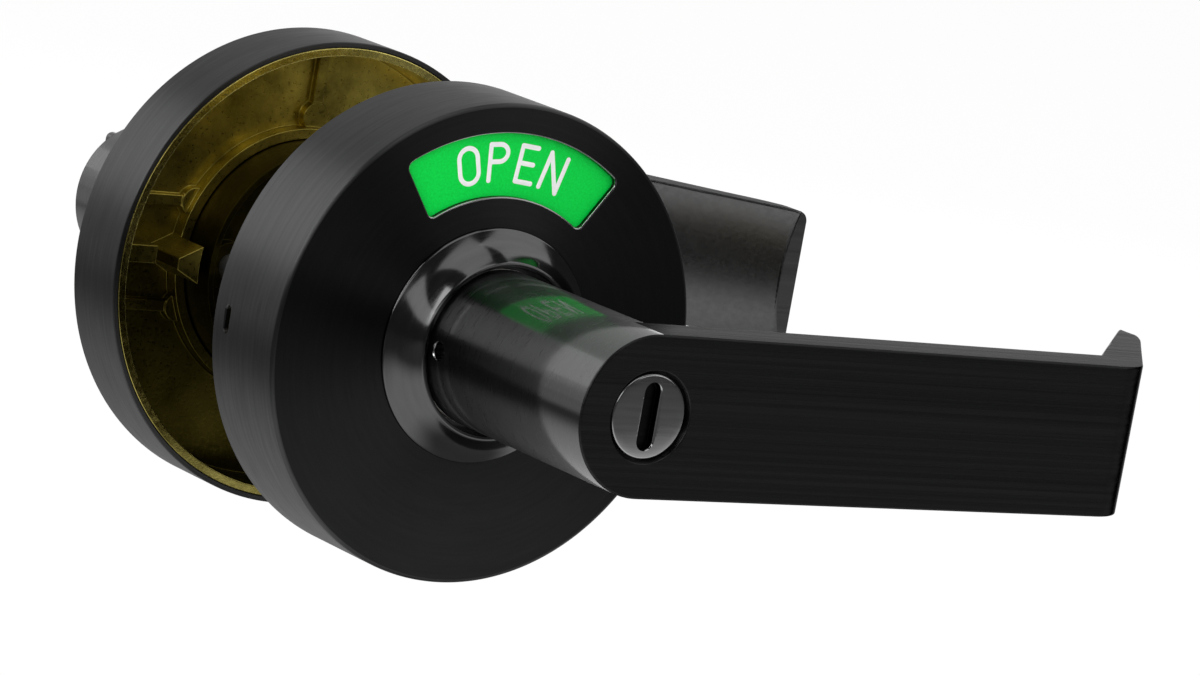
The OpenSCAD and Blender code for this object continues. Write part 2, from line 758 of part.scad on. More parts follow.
module lever_plan() {
    past = 0.4;
    tip_c = [lever_reach() - tip_r * sin(tip_a), -return_depth - tip_r * cos(tip_a)];
    polygon(concat(
        [[-cut, 0], [bend_x, 0]],
        [for (i = [1:8]) let (a = return_outer_a * i / 8)
            [bend_x + bend_r * sin(a), -bend_r * (1 - cos(a))]],
        [for (i = [0:6]) let (a = return_outer_a + (tip_a - return_outer_a) * i / 6)
            [tip_c[0] + tip_r * sin(a), tip_c[1] + tip_r * cos(a)]],
        [[lever_reach() + past / tan(tip_a), -return_depth - past],
         [return_tip_x() + past / tan(return_inner_a), -return_depth - past],
         [return_x, -blade_t], [-cut, -blade_t]]));
}

// The rounded back, drawn along the blade and again along the return
module crown(length) {
    arc = [for (i = [0:crown_steps]) let (y = crown_half * (2 * i / crown_steps - 1))
        [y, crown_r - blade_crown - sqrt(crown_r * crown_r - y * y)]];
    rotate([90, 0, 90]) linear_extrude(height = length)
        polygon(concat(arc, [[crown_half, crown_in], [-crown_half, crown_in]]));
}

module lever_blade() {
    slant = (return_depth - blade_t) / sin(return_inner_a);
    mitre = 0.6 * blade_crown;
    intersection() {
        union() {
            rotate([90, 0, 0]) translate([0, 0, -2 * shank_r])
                linear_extrude(height = 4 * shank_r) lever_plan();
            translate([-2 * cut, 0, -blade_t]) crown(return_x + 2 * cut);
            translate([return_x, 0, -blade_t]) rotate([0, return_inner_a, 0]) translate([-mitre, 0, 0])
                crown(slant + mitre + 2 * blade_crown);
        }
        translate([0, 0, -return_depth]) linear_extrude(height = return_depth + cut) blade_front_shape();
    }
}

// Rounds the end's two corners, seen from the front
module end_corners() {
    c = blade_corner_r;
    half = blade_end_h / 2;
    for (side = [-1, 1]) translate([lever_reach() - c, side * (half - c), -return_depth - cut])
        difference() {
            translate([0, side > 0 ? 0 : -2 * c, 0]) cube([2 * c, 2 * c, return_depth + 2 * cut]);
            translate([0, 0, -cut]) cylinder(r = c, h = return_depth + 4 * cut, $fn = 48);
        }
}

module lever(depth) {
    front = depth + lever_standoff;
    foot = depth + bush_l + bush_flange_t + shank_gap;
    catch_z = depth + collar_h + release_z;
    top = depth + spindle_in_lever;
    difference() {
        union() {
            translate([0, 0, foot]) cylinder(r = shank_r, h = front - foot);
            translate([0, 0, front]) lever_blade();
        }
        translate([0, 0, front]) end_corners();
        translate([0, 0, foot - cut]) cylinder(r = spindle_r, h = top - foot + cut);
        translate([0, 0, top - cut]) cylinder(r = spindle_in, h = front - stem_back - top + cut);
        translate([0, 0, front - stem_back - cut]) cylinder(r = stem_r + run_c, h = stem_back + 2 * cut);
        translate([0, 0, front - turn_hole_depth]) cylinder(r = turn_hole_r, h = turn_hole_depth + cut);
        translate([0, 0, catch_z]) rotate([0, -90, 0]) cylinder(r = release_r, h = shank_r + cut, $fn = 32);
    }
    translate([0, 0, top - lever_key_l]) key(lever_key_l);
}

module outside_lever() { color(black) outside() lever(outside_depth); }
module inside_lever() { color(black) inside() lever(inside_depth); }

// Catches: a block in the spindle's slot with a nose in the shank's release hole
module catch(depth) {
    catch_z = depth + collar_h + release_z;
    side = catch_w - 2 * run_c;
    translate([0, 0, catch_z]) {
        translate([-catch_block_out, -side / 2, -side / 2]) cube([catch_block_t, side, side]);
        rotate([0, -90, 0]) translate([0, 0, catch_block_out - nose_root])
            cylinder(r = nose_r, h = shank_r - catch_sink - catch_block_out + nose_root, $fn = 32);
    }
}

module outside_catch() { color(polished) outside() catch(outside_depth); }
module inside_catch() { color(polished) inside() catch(inside_depth); }

// Leaf springs inside the spindles: a bent strip behind each catch, resting on the tube's far wall
module catch_leaf(depth) {
    catch_z = depth + collar_h + release_z;
    leaf_out = catch_block_out - catch_block_t - set_c;
    height = catch_w - 1.2;
    foot_l = spindle_in - leaf_out + leaf_t - set_c;
    translate([0, 0, catch_z - height / 2]) {
        ring_part(leaf_a, 360 - leaf_a, leaf_out - leaf_t, leaf_out, height);
        for (side = [-1, 1]) rotate(side * leaf_a)
            translate([leaf_out - leaf_t, -leaf_t / 2, 0]) cube([foot_l, leaf_t, height]);
    }
}

module outside_catch_spring() { color(spring_steel) outside() catch_leaf(outside_depth); }
module inside_catch_spring() { color(spring_steel) inside() catch_leaf(inside_depth); }

// Fasteners
module bolt_posts() {
    floor_z = outside_floor_top - base_floor;
    color(steel) outside() both_sides() difference() {
        translate([0, 0, -post_l]) cylinder(r = post_r, h = post_l + floor_z);
        translate([0, 0, -post_l - cut]) cylinder(r = bolt_r, h = post_l + floor_z - post_wall_end + cut);
    }
}

module through_bolts() {
    head_top = inside_floor_top - slide_c;
    length = head_top + door_t - post_l + bolt_overlap;
    color(steel) inside() both_sides() difference() {
        union() {
            translate([0, 0, head_top - length]) cylinder(r = bolt_r, h = length - bolt_head_t / 2);
            translate([0, 0, head_top - bolt_head_t]) cylinder(r = bolt_head_r, h = bolt_head_t);
        }
        for (a = [0, 90]) rotate(a) translate([-bolt_cross_w / 2, -bolt_cross_l / 2, head_top - 1])
            cube([bolt_cross_w, bolt_cross_l, 2]);
    }
}

// Indicator disc, which turns on the outside collar's spigot
// Its spiral slot moves the dog evenly: the radius falls in step with the angle
function spiral(side) = [for (i = [0:18]) let (t = i / 18)
    polar(dog_pin_at - dog_travel * t + side * pin_slot_half, 270 - turn_swing * t)];

module spiral_slot(h) {
    linear_extrude(height = h) polygon(concat(spiral(1), reversed(spiral(-1))));
    for (t = [0, 1]) rotate(270 - turn_swing * t) translate([dog_pin_at - dog_travel * t, 0, 0])
        cylinder(r = pin_slot_half, h = h, $fn = 24);
}

module indicator_disc() {
    color(disc_grey) outside() translate([0, 0, disc_z]) difference() {
        tube(spigot_r + run_c, disc_r, disc_t);
        rotate(finger_a) translate([0, -finger_w / 2 - set_c, -cut])
            cube([finger_r + under_disc, finger_w + 2 * set_c, disc_t + 2 * cut]);
        translate([0, 0, -cut]) spiral_slot(disc_t + 2 * cut);
    }
}

module sector(middle_a) {
    translate([0, 0, disc_z + disc_t])
        ring_part(middle_a - sector_a, middle_a + sector_a, sector_r1, sector_r2, sector_t);
}

module open_sector() { color(open_green) outside() sector(90); }
module in_use_sector() { color(in_use_red) outside() sector(90 - turn_swing); }

// The dog slides up into the lock ring as the disc's slot draws its pin in
module lock_dog() {
    color(steel) outside() {
        translate([-dog_w / 2, -dog_tail, dog_z]) cube([dog_w, dog_tail - dog_nose, dog_t]);
        translate([0, -dog_pin_at, dog_z + dog_t / 2])
            cylinder(r = dog_pin_r, h = disc_z + disc_t - slide_c - dog_z - dog_t / 2, $fn = 32);
    }
}

// The driver sits on the turn bar and reaches out through the spindle into the disc's notch
module turn_driver() {
    color(steel) outside() translate([0, 0, driver_z]) difference() {
        union() {
            cylinder(r = spindle_in - 2 * face_c, h = driver_t);
            rotate(finger_a) translate([0, -finger_w / 2, 0]) cube([finger_r, finger_w, driver_t]);
        }
        translate([0, 0, -cut]) bar_hole(driver_t + 2 * cut);
    }
}

// The turn bar runs from stem to stem through both spindles
module turn_bar() {
    outside_end = door_t / 2 + outside_depth + lever_standoff - stem_end + bar_hold;
    inside_end = door_t / 2 + inside_depth + lever_standoff - stem_end + bar_hold;
    color(steel) translate([-bar_t / 2, -outside_end, -bar_w / 2])
        cube([bar_t, outside_end + inside_end, bar_w]);
}

module bar_hole(h) {
    translate([-bar_t / 2 - set_c, -bar_w / 2 - set_c, 0]) cube([bar_t + 2 * set_c, bar_w + 2 * set_c, h]);
}

// The shared back of both turn pieces: head, stem, the groove for its clip and the socket for the bar
module turn_back() {
    difference() {
        union() {
            translate([0, 0, -head_t]) cylinder(r = turn_head_r, h = head_t - head_rim / 2);
            translate([0, 0, -stem_end]) cylinder(r = stem_r, h = stem_end - head_t + head_rim);
        }
        translate([0, 0, -stem_end - cut]) bar_hole(bar_hold + cut);
        translate([0, 0, -stem_back - clip_gap - clip_t]) tube(stem_r - clip_groove, stem_r + cut, clip_t);
    }
}

module turn_clip() {
    translate([0, 0, -stem_back - clip_gap - clip_t]) difference() {
        tube(stem_r - clip_groove, stem_r + clip_out, clip_t);
        translate([0, -clip_opening / 2, -cut])
            cube([stem_r + clip_out + cut, clip_opening, clip_t + 2 * cut]);
    }
}

// Coin turn: a low dome with a slot that has round ends
module coin_dome() {
    dome_r = (turn_head_r * turn_head_r + dome_rise * dome_rise) / (2 * dome_rise);
    rotate_extrude() polygon(concat([[0, -head_rim], [turn_head_r, -head_rim]],
        [for (i = [0:8]) let (x = turn_head_r * (1 - i / 8))
            [x, sqrt(dome_r * dome_r - x * x) - dome_r - dome_sink]]));
}

module coin_turn() {
    color(polished) outside() translate([0, 0, outside_depth + lever_standoff]) difference() {
        union() {
            turn_back();
            coin_dome();
        }
        translate([0, 0, -coin_slot_depth - dome_sink])
            linear_extrude(height = coin_slot_depth + cut) obround(coin_slot_w, coin_slot_l);
    }
}

module coin_turn_clip() {
    color(spring_steel) outside() translate([0, 0, outside_depth + lever_standoff]) turn_clip();
}

// Thumb turn: the same head with an upright wing that has rounded corners
module wing_outline() {
    square([wing_t, wing_h - 2 * wing_corner_r], center = true);
    square([wing_t - 2 * wing_corner_r, wing_h], center = true);
    for (u = [-1, 1], v = [-1, 1])
        translate([u * (wing_t / 2 - wing_corner_r), v * (wing_h / 2 - wing_corner_r)]) circle(r = wing_corner_r);
}

module thumb_wing() {
    translate([0, 0, -head_rim]) linear_extrude(height = wing_l + head_rim) wing_outline();
}

module thumb_turn() {
    color(polished) inside() translate([0, 0, inside_depth + lever_standoff]) {
        turn_back();
        intersection() {
            thumb_wing();
            union() {
                translate([0, 0, -head_rim]) cylinder(r = turn_head_r, h = head_rim + slide_c);
                translate([-wing_h, -wing_h, set_c]) cube([2 * wing_h, 2 * wing_h, wing_l]);
            }
        }
        translate([0, 0, -head_rim]) cylinder(r = turn_head_r, h = head_rim - slide_c);
    }
}

module thumb_turn_clip() {
    color(spring_steel) inside() translate([0, 0, inside_depth + lever_standoff]) turn_clip();
}

outside_cover();
outside_base();
outside_collar();
outside_bush();
outside_cage();
outside_cage_screws();
outside_spring();
outside_drive_plate();
outside_spindle();
outside_spindle_ring();
outside_lever();
outside_catch();
outside_catch_spring();
lock_ring();
lock_dog();
indicator_disc();
open_sector();
in_use_sector();
turn_driver();
coin_turn();
coin_turn_clip();
turn_bar();
thumb_turn();
thumb_turn_clip();
inside_cover();
inside_base();
inside_collar();
inside_bush();
inside_cage();
inside_cage_screws();
inside_spring();
inside_drive_plate();
inside_spindle();
inside_spindle_ring();
inside_lever();
inside_catch();
inside_catch_spring();
bolt_posts();
through_bolts();
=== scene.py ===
# %% [markdown]
# Privacy door lock. The real thing is two round lever trims, clamped to a door from both sides. This
# lesson dresses the CAD model of that lock: the CAD gives every piece its place and its size, and here
# each visible piece gets its rounded edges and its finish.

# %% Load the frame and note its size
import json
import math

import bmesh
import bpy
from mathutils import Matrix, Vector


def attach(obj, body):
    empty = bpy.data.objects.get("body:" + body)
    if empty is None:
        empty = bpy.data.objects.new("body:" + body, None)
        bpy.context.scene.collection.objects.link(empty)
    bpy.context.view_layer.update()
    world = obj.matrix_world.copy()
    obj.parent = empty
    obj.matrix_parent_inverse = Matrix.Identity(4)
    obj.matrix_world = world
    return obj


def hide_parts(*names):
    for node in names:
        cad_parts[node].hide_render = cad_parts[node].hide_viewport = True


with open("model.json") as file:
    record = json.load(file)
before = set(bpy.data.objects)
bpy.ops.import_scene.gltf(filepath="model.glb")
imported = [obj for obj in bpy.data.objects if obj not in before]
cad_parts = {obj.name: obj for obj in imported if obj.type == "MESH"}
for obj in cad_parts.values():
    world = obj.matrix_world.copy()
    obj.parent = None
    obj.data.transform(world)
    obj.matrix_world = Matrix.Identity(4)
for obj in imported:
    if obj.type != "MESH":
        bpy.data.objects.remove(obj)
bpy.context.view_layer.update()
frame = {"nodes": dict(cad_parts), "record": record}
nodes = frame["nodes"]


print("CAD nodes:", len(nodes))

# %% [markdown]
# A lock is drawn in millimetres and Blender works in metres, so every size is written in millimetres and
# passed through one helper. Each trim is thought of as lying flat, with its height measured from the
# door's face, and place() stands it up on its own side of the door.

# %% Sizes of the lock, in millimetres
MM = 0.001
DOOR_HALF = 18.25
TRIM_R = 44.45
COVER_T = 1.0
DEPTH = {"outside": 21.0, "inside": 15.5}
FACING = {"outside": -1, "inside": 1}
STANDOFF = 54.0
SHANK_R = 14.7
SPINDLE_R = 10.5


def place(side, x, y, height):
    """A point beside the lock's axis, at a height above the door's face, as a point of the frame."""
    return Vector((x, FACING[side] * (DOOR_HALF + height), y)) * MM


def upright(side):
    """place() for one side, as stacks want it."""
    return lambda x, y, height: place(side, x, y, height)


# %% [markdown]
# The camera stands where the photographer stood: low, to the left of the lever's face, far off with a
# long lens, and a little rolled. A long lens keeps both round trims nearly the same size.

# %% Camera
AZIMUTH = math.radians(-35.55)
ELEVATION = math.radians(9.2)
ROLL = math.radians(10.12)
DISTANCE = 1.1136
AIM = (0.04246, -0.00761)
FOCAL_LENGTH, SENSOR_WIDTH, CLIP_START = 180, 36, 0.05


def new_object(name, data):
    """An object for a mesh, a lamp or a camera, linked to the scene."""
    thing = bpy.data.objects.new(name, data)
    bpy.context.scene.collection.objects.link(thing)
    return thing


back = Vector((math.sin(AZIMUTH) * math.cos(ELEVATION), -math.cos(AZIMUTH) * math.cos(ELEVATION),
               math.sin(ELEVATION)))
flat_right = Vector((math.cos(AZIMUTH), math.sin(AZIMUTH), 0))
flat_up = back.cross(flat_right)
right = flat_right * math.cos(ROLL) + flat_up * math.sin(ROLL)
up = flat_up * math.cos(ROLL) - flat_right * math.sin(ROLL)

lens = bpy.data.cameras.new("photo_camera")
lens.lens, lens.sensor_width, lens.clip_start = FOCAL_LENGTH, SENSOR_WIDTH, CLIP_START
camera = new_object("photo_camera", lens)
camera_turn = Matrix((right, up, back)).transposed().to_4x4()
camera.matrix_world = Matrix.Translation(right * AIM[0] + up * AIM[1] + back * DISTANCE) @ camera_turn
bpy.context.scene.camera = camera
bpy.context.scene.view_settings.view_transform = "Standard"

# %% [markdown]
# Materials are built from nodes. These small helpers keep that short: they set a node's sockets by name,
# join sockets in pairs, do sums, and turn one range of numbers into another.

# %% Node helpers
def set_inputs(node, **sockets):
    """Sets sockets by their names, with an underscore for each space."""
    for name, value in sockets.items():
        node.inputs[name.replace("_", " ")].default_value = value


def add_node(tree, kind, **sockets):
    node = tree.nodes.new(kind)
    set_inputs(node, **sockets)
    return node


def join(tree, *sockets):
    """Joins sockets in pairs: a source, its target, the next source, its target."""
    for source, target in zip(sockets[::2], sockets[1::2]):
        tree.links.new(source, target)


def arithmetic(tree, operation, first, second=None):
    node = tree.nodes.new("ShaderNodeMath")
    node.operation = operation
    for socket, value in zip(node.inputs, (first, second)):
        if isinstance(value, (int, float)):
            socket.default_value = value
        elif value is not None:
            join(tree, value, socket)
    return node.outputs[0]


def times(tree, first, second):
    return arithmetic(tree, "MULTIPLY", first, second)


def distance(tree, across, along):
    """The square root of the sum of two squares."""
    return arithmetic(tree, "SQRT", arithmetic(tree, "ADD", times(tree, across, across),
                                               times(tree, along, along)))


def map_range(tree, value, start, end, low, high, kind="SMOOTHSTEP"):
    """Goes from low to high while the value goes from start to end."""
    node = add_node(tree, "ShaderNodeMapRange", From_Min=start, From_Max=end, To_Min=low, To_Max=high)
    node.interpolation_type = kind
    join(tree, value, node.inputs["Value"])
    return node.outputs[0]


def coordinates(tree, kind="Object"):
    spot = tree.nodes.new("ShaderNodeTexCoord")
    split = tree.nodes.new("ShaderNodeSeparateXYZ")
    join(tree, spot.outputs[kind], split.inputs[0])
    return split.outputs


def either_ray(tree):
    """1 for what the camera, a reflection or a look through glass sees, and 0 for light that bounces."""
    path = tree.nodes.new("ShaderNodeLightPath")
    seen = arithmetic(tree, "MAXIMUM", path.outputs["Is Camera Ray"], path.outputs["Is Glossy Ray"])
    return path, arithmetic(tree, "MAXIMUM", seen, path.outputs["Is Transmission Ray"])


def mix_shaders(tree, share, first, second, out_kind):
    mix = tree.nodes.new("ShaderNodeMixShader")
    out = tree.nodes.new(out_kind)
    join(tree, share, mix.inputs[0], first.outputs[0], mix.inputs[1], second.outputs[0], mix.inputs[2],
         mix.outputs[0], out.inputs[0])


# %% [markdown]
# The lock is a black mirror more than a black paint, so it is lit by what it reflects. The world is white
# to the camera. A reflection finds it pale behind the lock and nearly dark behind the camera, as a studio
# is. Light that bounces finds a plain grey.

# %% World
ROOM_FRONT, ROOM_BACK = 0.06, 0.78
BOUNCE_GREY, WHITE = (0.8, 0.8, 0.8, 1), (1, 1, 1, 1)

world = bpy.data.worlds.new("studio")
bpy.context.scene.world = world
world.use_nodes = True
sky = world.node_tree
sky.nodes.clear()
path, seen = either_ray(sky)
room = map_range(sky, coordinates(sky, "Generated")["Y"], 0.1, 0.65, ROOM_FRONT, ROOM_BACK)
bounce = add_node(sky, "ShaderNodeBackground", Color=BOUNCE_GREY)
shown = add_node(sky, "ShaderNodeBackground", Color=WHITE)
join(sky, arithmetic(sky, "MAXIMUM", room, path.outputs["Is Camera Ray"]), shown.inputs["Strength"])
mix_shaders(sky, seen, bounce, shown, "ShaderNodeOutputWorld")

# %% [markdown]
# Softboxes make the long grey bands on the shank, the collar and the rims. They stand round the lock, the
# largest above it and on its right. Each is a plain area light that the camera doesn't see.

# %% Lamps
SOFTBOXES = {
    "left": ((-0.82, 0.08, 0.56), 1.3, (0.8, 1.0), 3.8),
    "back_left": ((-0.45, 0.80, 0.40), 1.3, (0.6, 0.5), 0.55),
    "back_right": ((0.60, 0.75, 0.14), 1.3, (0.8, 0.3), 0.9),
    "right": ((0.68, -0.15, 0.70), 1.3, (1.7, 0.9), 1.05),
    "top": ((0.0, -0.42, 0.88), 1.3, (0.75, 1.3), 1.0),
    "patch": ((-0.67, -0.60, 0.36), 1.3, (1.5, 0.38), 1.25),
    "front": ((0.574, -0.80, 0.20), 1.4, (0.6, 0.26), 1.2),
}
for name, (towards, far, size, radiance) in SOFTBOXES.items():
    light = bpy.data.lights.new("softbox_" + name, "AREA")
    light.shape = "RECTANGLE"
    light.size, light.size_y = size
    light.energy = radiance * math.pi * size[0] * size[1]
    lamp = new_object("softbox_" + name, light)
    away = Vector(towards).normalized()
    lamp.matrix_world = Matrix.Translation(away * far) @ away.to_track_quat("Z", "Y").to_matrix().to_4x4()
    lamp.visible_camera = False

# %% [markdown]
# The floor is plain and pale. To the camera it is nearly as white as the background, with a little of its
# own shading left, so the lock's shadow stays on it. In reflections its glow is painted: lower under the
# lock, a painted shadow of the lock, and lower in front and on the left, a painted dark card where no card
# stands.

# %% Floor
FLOOR_Z, FLOOR_HALF = -0.13, 6
FLOOR_GREY, FLOOR_GLOW = (0.86, 0.86, 0.86, 1), 0.92
SQUARE = ((-1, -1), (1, -1), (1, 1), (-1, 1))

floor_mesh = bpy.data.meshes.new("floor")
floor_mesh.from_pydata([(x * FLOOR_HALF, y * FLOOR_HALF, FLOOR_Z) for x, y in SQUARE], [], [(0, 1, 2, 3)])
floor = new_object("floor", floor_mesh)

floor_look = bpy.data.materials.new("pale_floor")
floor_look.use_nodes = True
tree = floor_look.node_tree
tree.nodes.clear()
path, seen = either_ray(tree)
x, y, _ = coordinates(tree)
# Painted shadow: the glow seen in reflections drops under the lock and in front, and on the left as a painted
# dark card.
under = distance(tree, arithmetic(tree, "SUBTRACT", x, 0.06), arithmetic(tree, "ADD", y, 0.06))
painted_dark_card = arithmetic(tree, "MAXIMUM", map_range(tree, x, -0.28, -0.12, 0.08, 1.0),
                         map_range(tree, y, 0.35, 0.60, 0.08, 1.0))
glow_with_painted_shadow = times(tree, painted_dark_card, times(tree, map_range(tree, under, 0.045, 0.11, 0.12, 1.0),
                                            map_range(tree, y, -0.55, -0.15, 0.05, 1.0)))
glow_with_painted_shadow = times(tree, glow_with_painted_shadow, map_range(tree, times(tree, y, -1.0), -0.25, -0.05, 0.62, 1.0))
paint = add_node(tree, "ShaderNodeBsdfDiffuse", Color=FLOOR_GREY)
glow = add_node(tree, "ShaderNodeEmission", Color=WHITE)
join(tree, arithmetic(tree, "MAXIMUM", glow_with_painted_shadow, path.outputs["Is Camera Ray"]), glow.inputs["Strength"])
mix_shaders(tree, times(tree, seen, FLOOR_GLOW), paint, glow, "ShaderNodeOutputMaterial")
floor_mesh.materials.append(floor_look)

# %% [markdown]
# Most of the lock is turned metal, brushed as it spins, and the levers' blades are brushed lengthwise.
# Both kinds of brushing are noise that is stretched along the scratches, so one function builds a shader
# group for either. It reads Object coordinates, so the scratches stay on the metal.

# %% Shader groups for brushing
SCRATCHES_PER_M = 2600.0
NEAR_AXIS = 0.0001


def new_group(name, inputs, outputs):
    """A shader group whose sockets are all numbers; the inputs come with their usual values."""
    group = bpy.data.node_groups.new(name, "ShaderNodeTree")
    for socket, value in inputs.items():
        made = group.interface.new_socket(name=socket, in_out="INPUT", socket_type="NodeSocketFloat")
        made.default_value = value
    for socket in outputs:
        group.interface.new_socket(name=socket, in_out="OUTPUT", socket_type="NodeSocketFloat")
    return group, group.nodes.new("NodeGroupInput"), group.nodes.new("NodeGroupOutput")


def build_brushing(name, along, wide_along, turned):
    """Fine scratches and wider streaks. Turned ones run round the lock's axis, others along the blade."""
    group, given, result = new_group(name, {"Across": SCRATCHES_PER_M, "Along": along}, ("Scratches", "Wide"))
    x, y, z = coordinates(group)
    steps = [(x, "Along"), (y, "Across"), (z, "Across")]
    if turned:
        radius = distance(group, x, z)
        safe = arithmetic(group, "MAXIMUM", radius, NEAR_AXIS)
        steps = [(radius, "Across"), (y, "Across"), (arithmetic(group, "DIVIDE", x, safe), "Along"),
                 (arithmetic(group, "DIVIDE", z, safe), "Along")]
    for output, fine, short in (("Scratches", 1.0, 1.0), ("Wide", 0.45, wide_along)):
        scale = {"Across": times(group, given.outputs["Across"], fine),
                 "Along": times(group, given.outputs["Along"], short)}
        vector = group.nodes.new("ShaderNodeCombineXYZ")
        noise = add_node(group, "ShaderNodeTexNoise", Scale=1.0, Detail=3.0, Roughness=0.6)
        targets = list(vector.inputs)
        if turned:
            noise.noise_dimensions = "4D"
            targets.append(noise.inputs["W"])
        for (step, way), target in zip(steps, targets):
            join(group, times(group, step, scale[way]), target)
        join(group, vector.outputs[0], noise.inputs["Vector"], noise.outputs["Fac"], result.inputs[output])
    return group


turned_brushing = build_brushing("turned_brushing", 6.0, 0.35, True)
straight_brushing = build_brushing("straight_brushing", 60.0, 0.4, False)

# %% [markdown]
# A brushed finish shows in three ways: the scratches lighten and darken the colour a little, they roughen
# the gloss, and they bend it across their length. One function joins such a finish to its shader, and the
# next builds a brushed metal from its values.

# %% Brushed metals
def new_material(name, group, **values):
    """A material with its shader, and a shader group placed in it with its own values."""
    look = bpy.data.materials.new(name)
    look.use_nodes = True
    tree = look.node_tree
    tree.nodes.clear()
    shader = tree.nodes.new("ShaderNodeBsdfPrincipled")
    out = tree.nodes.new("ShaderNodeOutputMaterial")
    join(tree, shader.outputs[0], out.inputs[0])
    grain = tree.nodes.new("ShaderNodeGroup")
    grain.node_tree = group
    set_inputs(grain, **values)
    return look, tree, shader, grain.outputs


def ranged(tree, value, low, high):
    """Noise keeps near 0.5, so its middle part is spread from low to high."""
    return map_range(tree, value, 0.3, 0.7, low, high, "LINEAR")


def apply_finish(tree, shader, mask, grain, colours, roughness, bump, depth=0.0001):
    """The mask mixes the two colours, and the grain sets the roughness and the relief."""
    blend = tree.nodes.new("ShaderNodeMix")
    blend.data_type = "RGBA"
    set_inputs(blend, A=(*colours[0], 1), B=(*colours[1], 1))
    relief = add_node(tree, "ShaderNodeBump", Strength=bump, Distance=depth)
    join(tree, mask, blend.inputs["Factor"], blend.outputs["Result"], shader.inputs["Base Color"],
         ranged(tree, grain, *roughness), shader.inputs["Roughness"],
         grain, relief.inputs["Height"], relief.outputs[0], shader.inputs["Normal"])


def brushed_metal(name, brushing, dark, light, roughness, stretch, across=SCRATCHES_PER_M, along=6.0,
                  bump=0.02, edge=1.0):
    look, tree, shader, grain = new_material(name, brushing, Across=across, Along=along)
    set_inputs(shader, Metallic=1.0, Specular_Tint=(edge, edge, edge, 1), Anisotropic=stretch,
               Anisotropic_Rotation=0.25)
    apply_finish(tree, shader, ranged(tree, grain["Wide"], 0, 1), grain["Scratches"], (dark, light),
                 roughness, bump)
    if brushing is turned_brushing:
        tangent = tree.nodes.new("ShaderNodeTangent")
        tangent.direction_type, tangent.axis = "RADIAL", "Y"
    else:
        tangent = tree.nodes.new("ShaderNodeVectorTransform")
        tangent.convert_from, tangent.convert_to = "OBJECT", "WORLD"
        tangent.inputs[0].default_value = (1, 0, 0)
    join(tree, tangent.outputs[0], shader.inputs["Tangent"])
    return look


turned_black = brushed_metal("turned_black", turned_brushing, (0.060, 0.060, 0.0605),
                             (0.080, 0.080, 0.0808), (0.36, 0.46), 0.9)
# A darker copy of turned_black for the cover's face: painted shade on the same sheet as the rim.
face_black = brushed_metal("face_black", turned_brushing, (0.034, 0.034, 0.0342),
                           (0.039, 0.039, 0.0393), (0.34, 0.44), 0.9)
shank_black = brushed_metal("shank_black", turned_brushing, (0.060, 0.060, 0.061), (0.070, 0.070, 0.071),
                            (0.26, 0.32), 1.0, across=2200.0, along=4.0)
set_inputs(shank_black.node_tree.nodes["Principled BSDF"], Coat_Weight=0.6, Coat_Roughness=0.08,
           Coat_IOR=1.8)
blade_black = brushed_metal("blade_black", straight_brushing, (0.024, 0.024, 0.0242),
                            (0.034, 0.034, 0.0343), (0.24, 0.32), 0.8, across=2200.0, edge=0.34)
# A lighter copy of blade_black for the faces that look towards the door: painted light on the same casting.
back_black = brushed_metal("back_black", straight_brushing, (0.10, 0.10, 0.101), (0.12, 0.12, 0.121),
                           (0.18, 0.24), 0.8, across=2200.0, edge=0.4)
polished_black = brushed_metal("polished_black", turned_brushing, (0.095, 0.095, 0.096),
                               (0.11, 0.11, 0.111), (0.10, 0.17), 0.3, across=1800.0, bump=0.01)
coin_metal = brushed_metal("coin_metal", straight_brushing, (0.34, 0.34, 0.342), (0.42, 0.42, 0.424),
                           (0.10, 0.17), 0.2, across=1800.0, bump=0.01)
# The coin slot's deep walls and floor: a near-black copy, painted shade in the recess.
slot_dark = brushed_metal("slot_dark", straight_brushing, (0.012, 0.012, 0.012), (0.020, 0.020, 0.020),
                          (0.30, 0.42), 0.0, across=1800.0, edge=0.3)
zinc_steel = brushed_metal("zinc_steel", turned_brushing, (0.40, 0.41, 0.43), (0.55, 0.56, 0.58),
                           (0.25, 0.4), 0.2, across=1500.0)
spring_steel = brushed_metal("spring_steel", turned_brushing, (0.20, 0.20, 0.21), (0.32, 0.32, 0.34),
                             (0.22, 0.34), 0.2, across=1500.0)

# %% [markdown]
# The bases and cages are zinc castings with a yellow passivation: olive and brass tones that run into one
# another, with fine pits from the mould. A painted shade darkens them lower down and lightens them higher up,
# and the cages get a darker copy still, painted shade for their place deep in the trim.

# %% Cast metal
PAINTED_SHADE_LOW_Z, PAINTED_SHADE_HIGH_Z = -0.02, 0.035
mottle, given, result = new_group("mottle", {"Size": 90.0, "Pits": 1400.0}, ("Patches", "Grain"))
spot = mottle.nodes.new("ShaderNodeTexCoord")
for output, source, detail in (("Patches", "Size", 5.0), ("Grain", "Pits", 3.0)):
    noise = add_node(mottle, "ShaderNodeTexNoise", Detail=detail, Roughness=0.62)
    join(mottle, spot.outputs["Object"], noise.inputs["Vector"], given.outputs[source],
         noise.inputs["Scale"], noise.outputs["Fac"], result.inputs[output])


def cast_metal(name, dark, light, roughness, low=0.06):
    """A casting's look, with painted shade towards its lower end. Low is how much of the light colour is left
    there.
    """
    look, tree, shader, grain = new_material(name, mottle)
    set_inputs(shader, Metallic=1.0)
    # Painted shade: the light colour fades out towards the bottom, by height alone.
    height = map_range(tree, coordinates(tree)["Z"], PAINTED_SHADE_LOW_Z, PAINTED_SHADE_HIGH_Z, low, 1.0)
    mottle_and_painted_shade = times(tree, ranged(tree, grain["Patches"], 0.2, 1), height)
    apply_finish(tree, shader, mottle_and_painted_shade, grain["Grain"], (dark, light), roughness, 0.12, depth=0.0003)
    return look


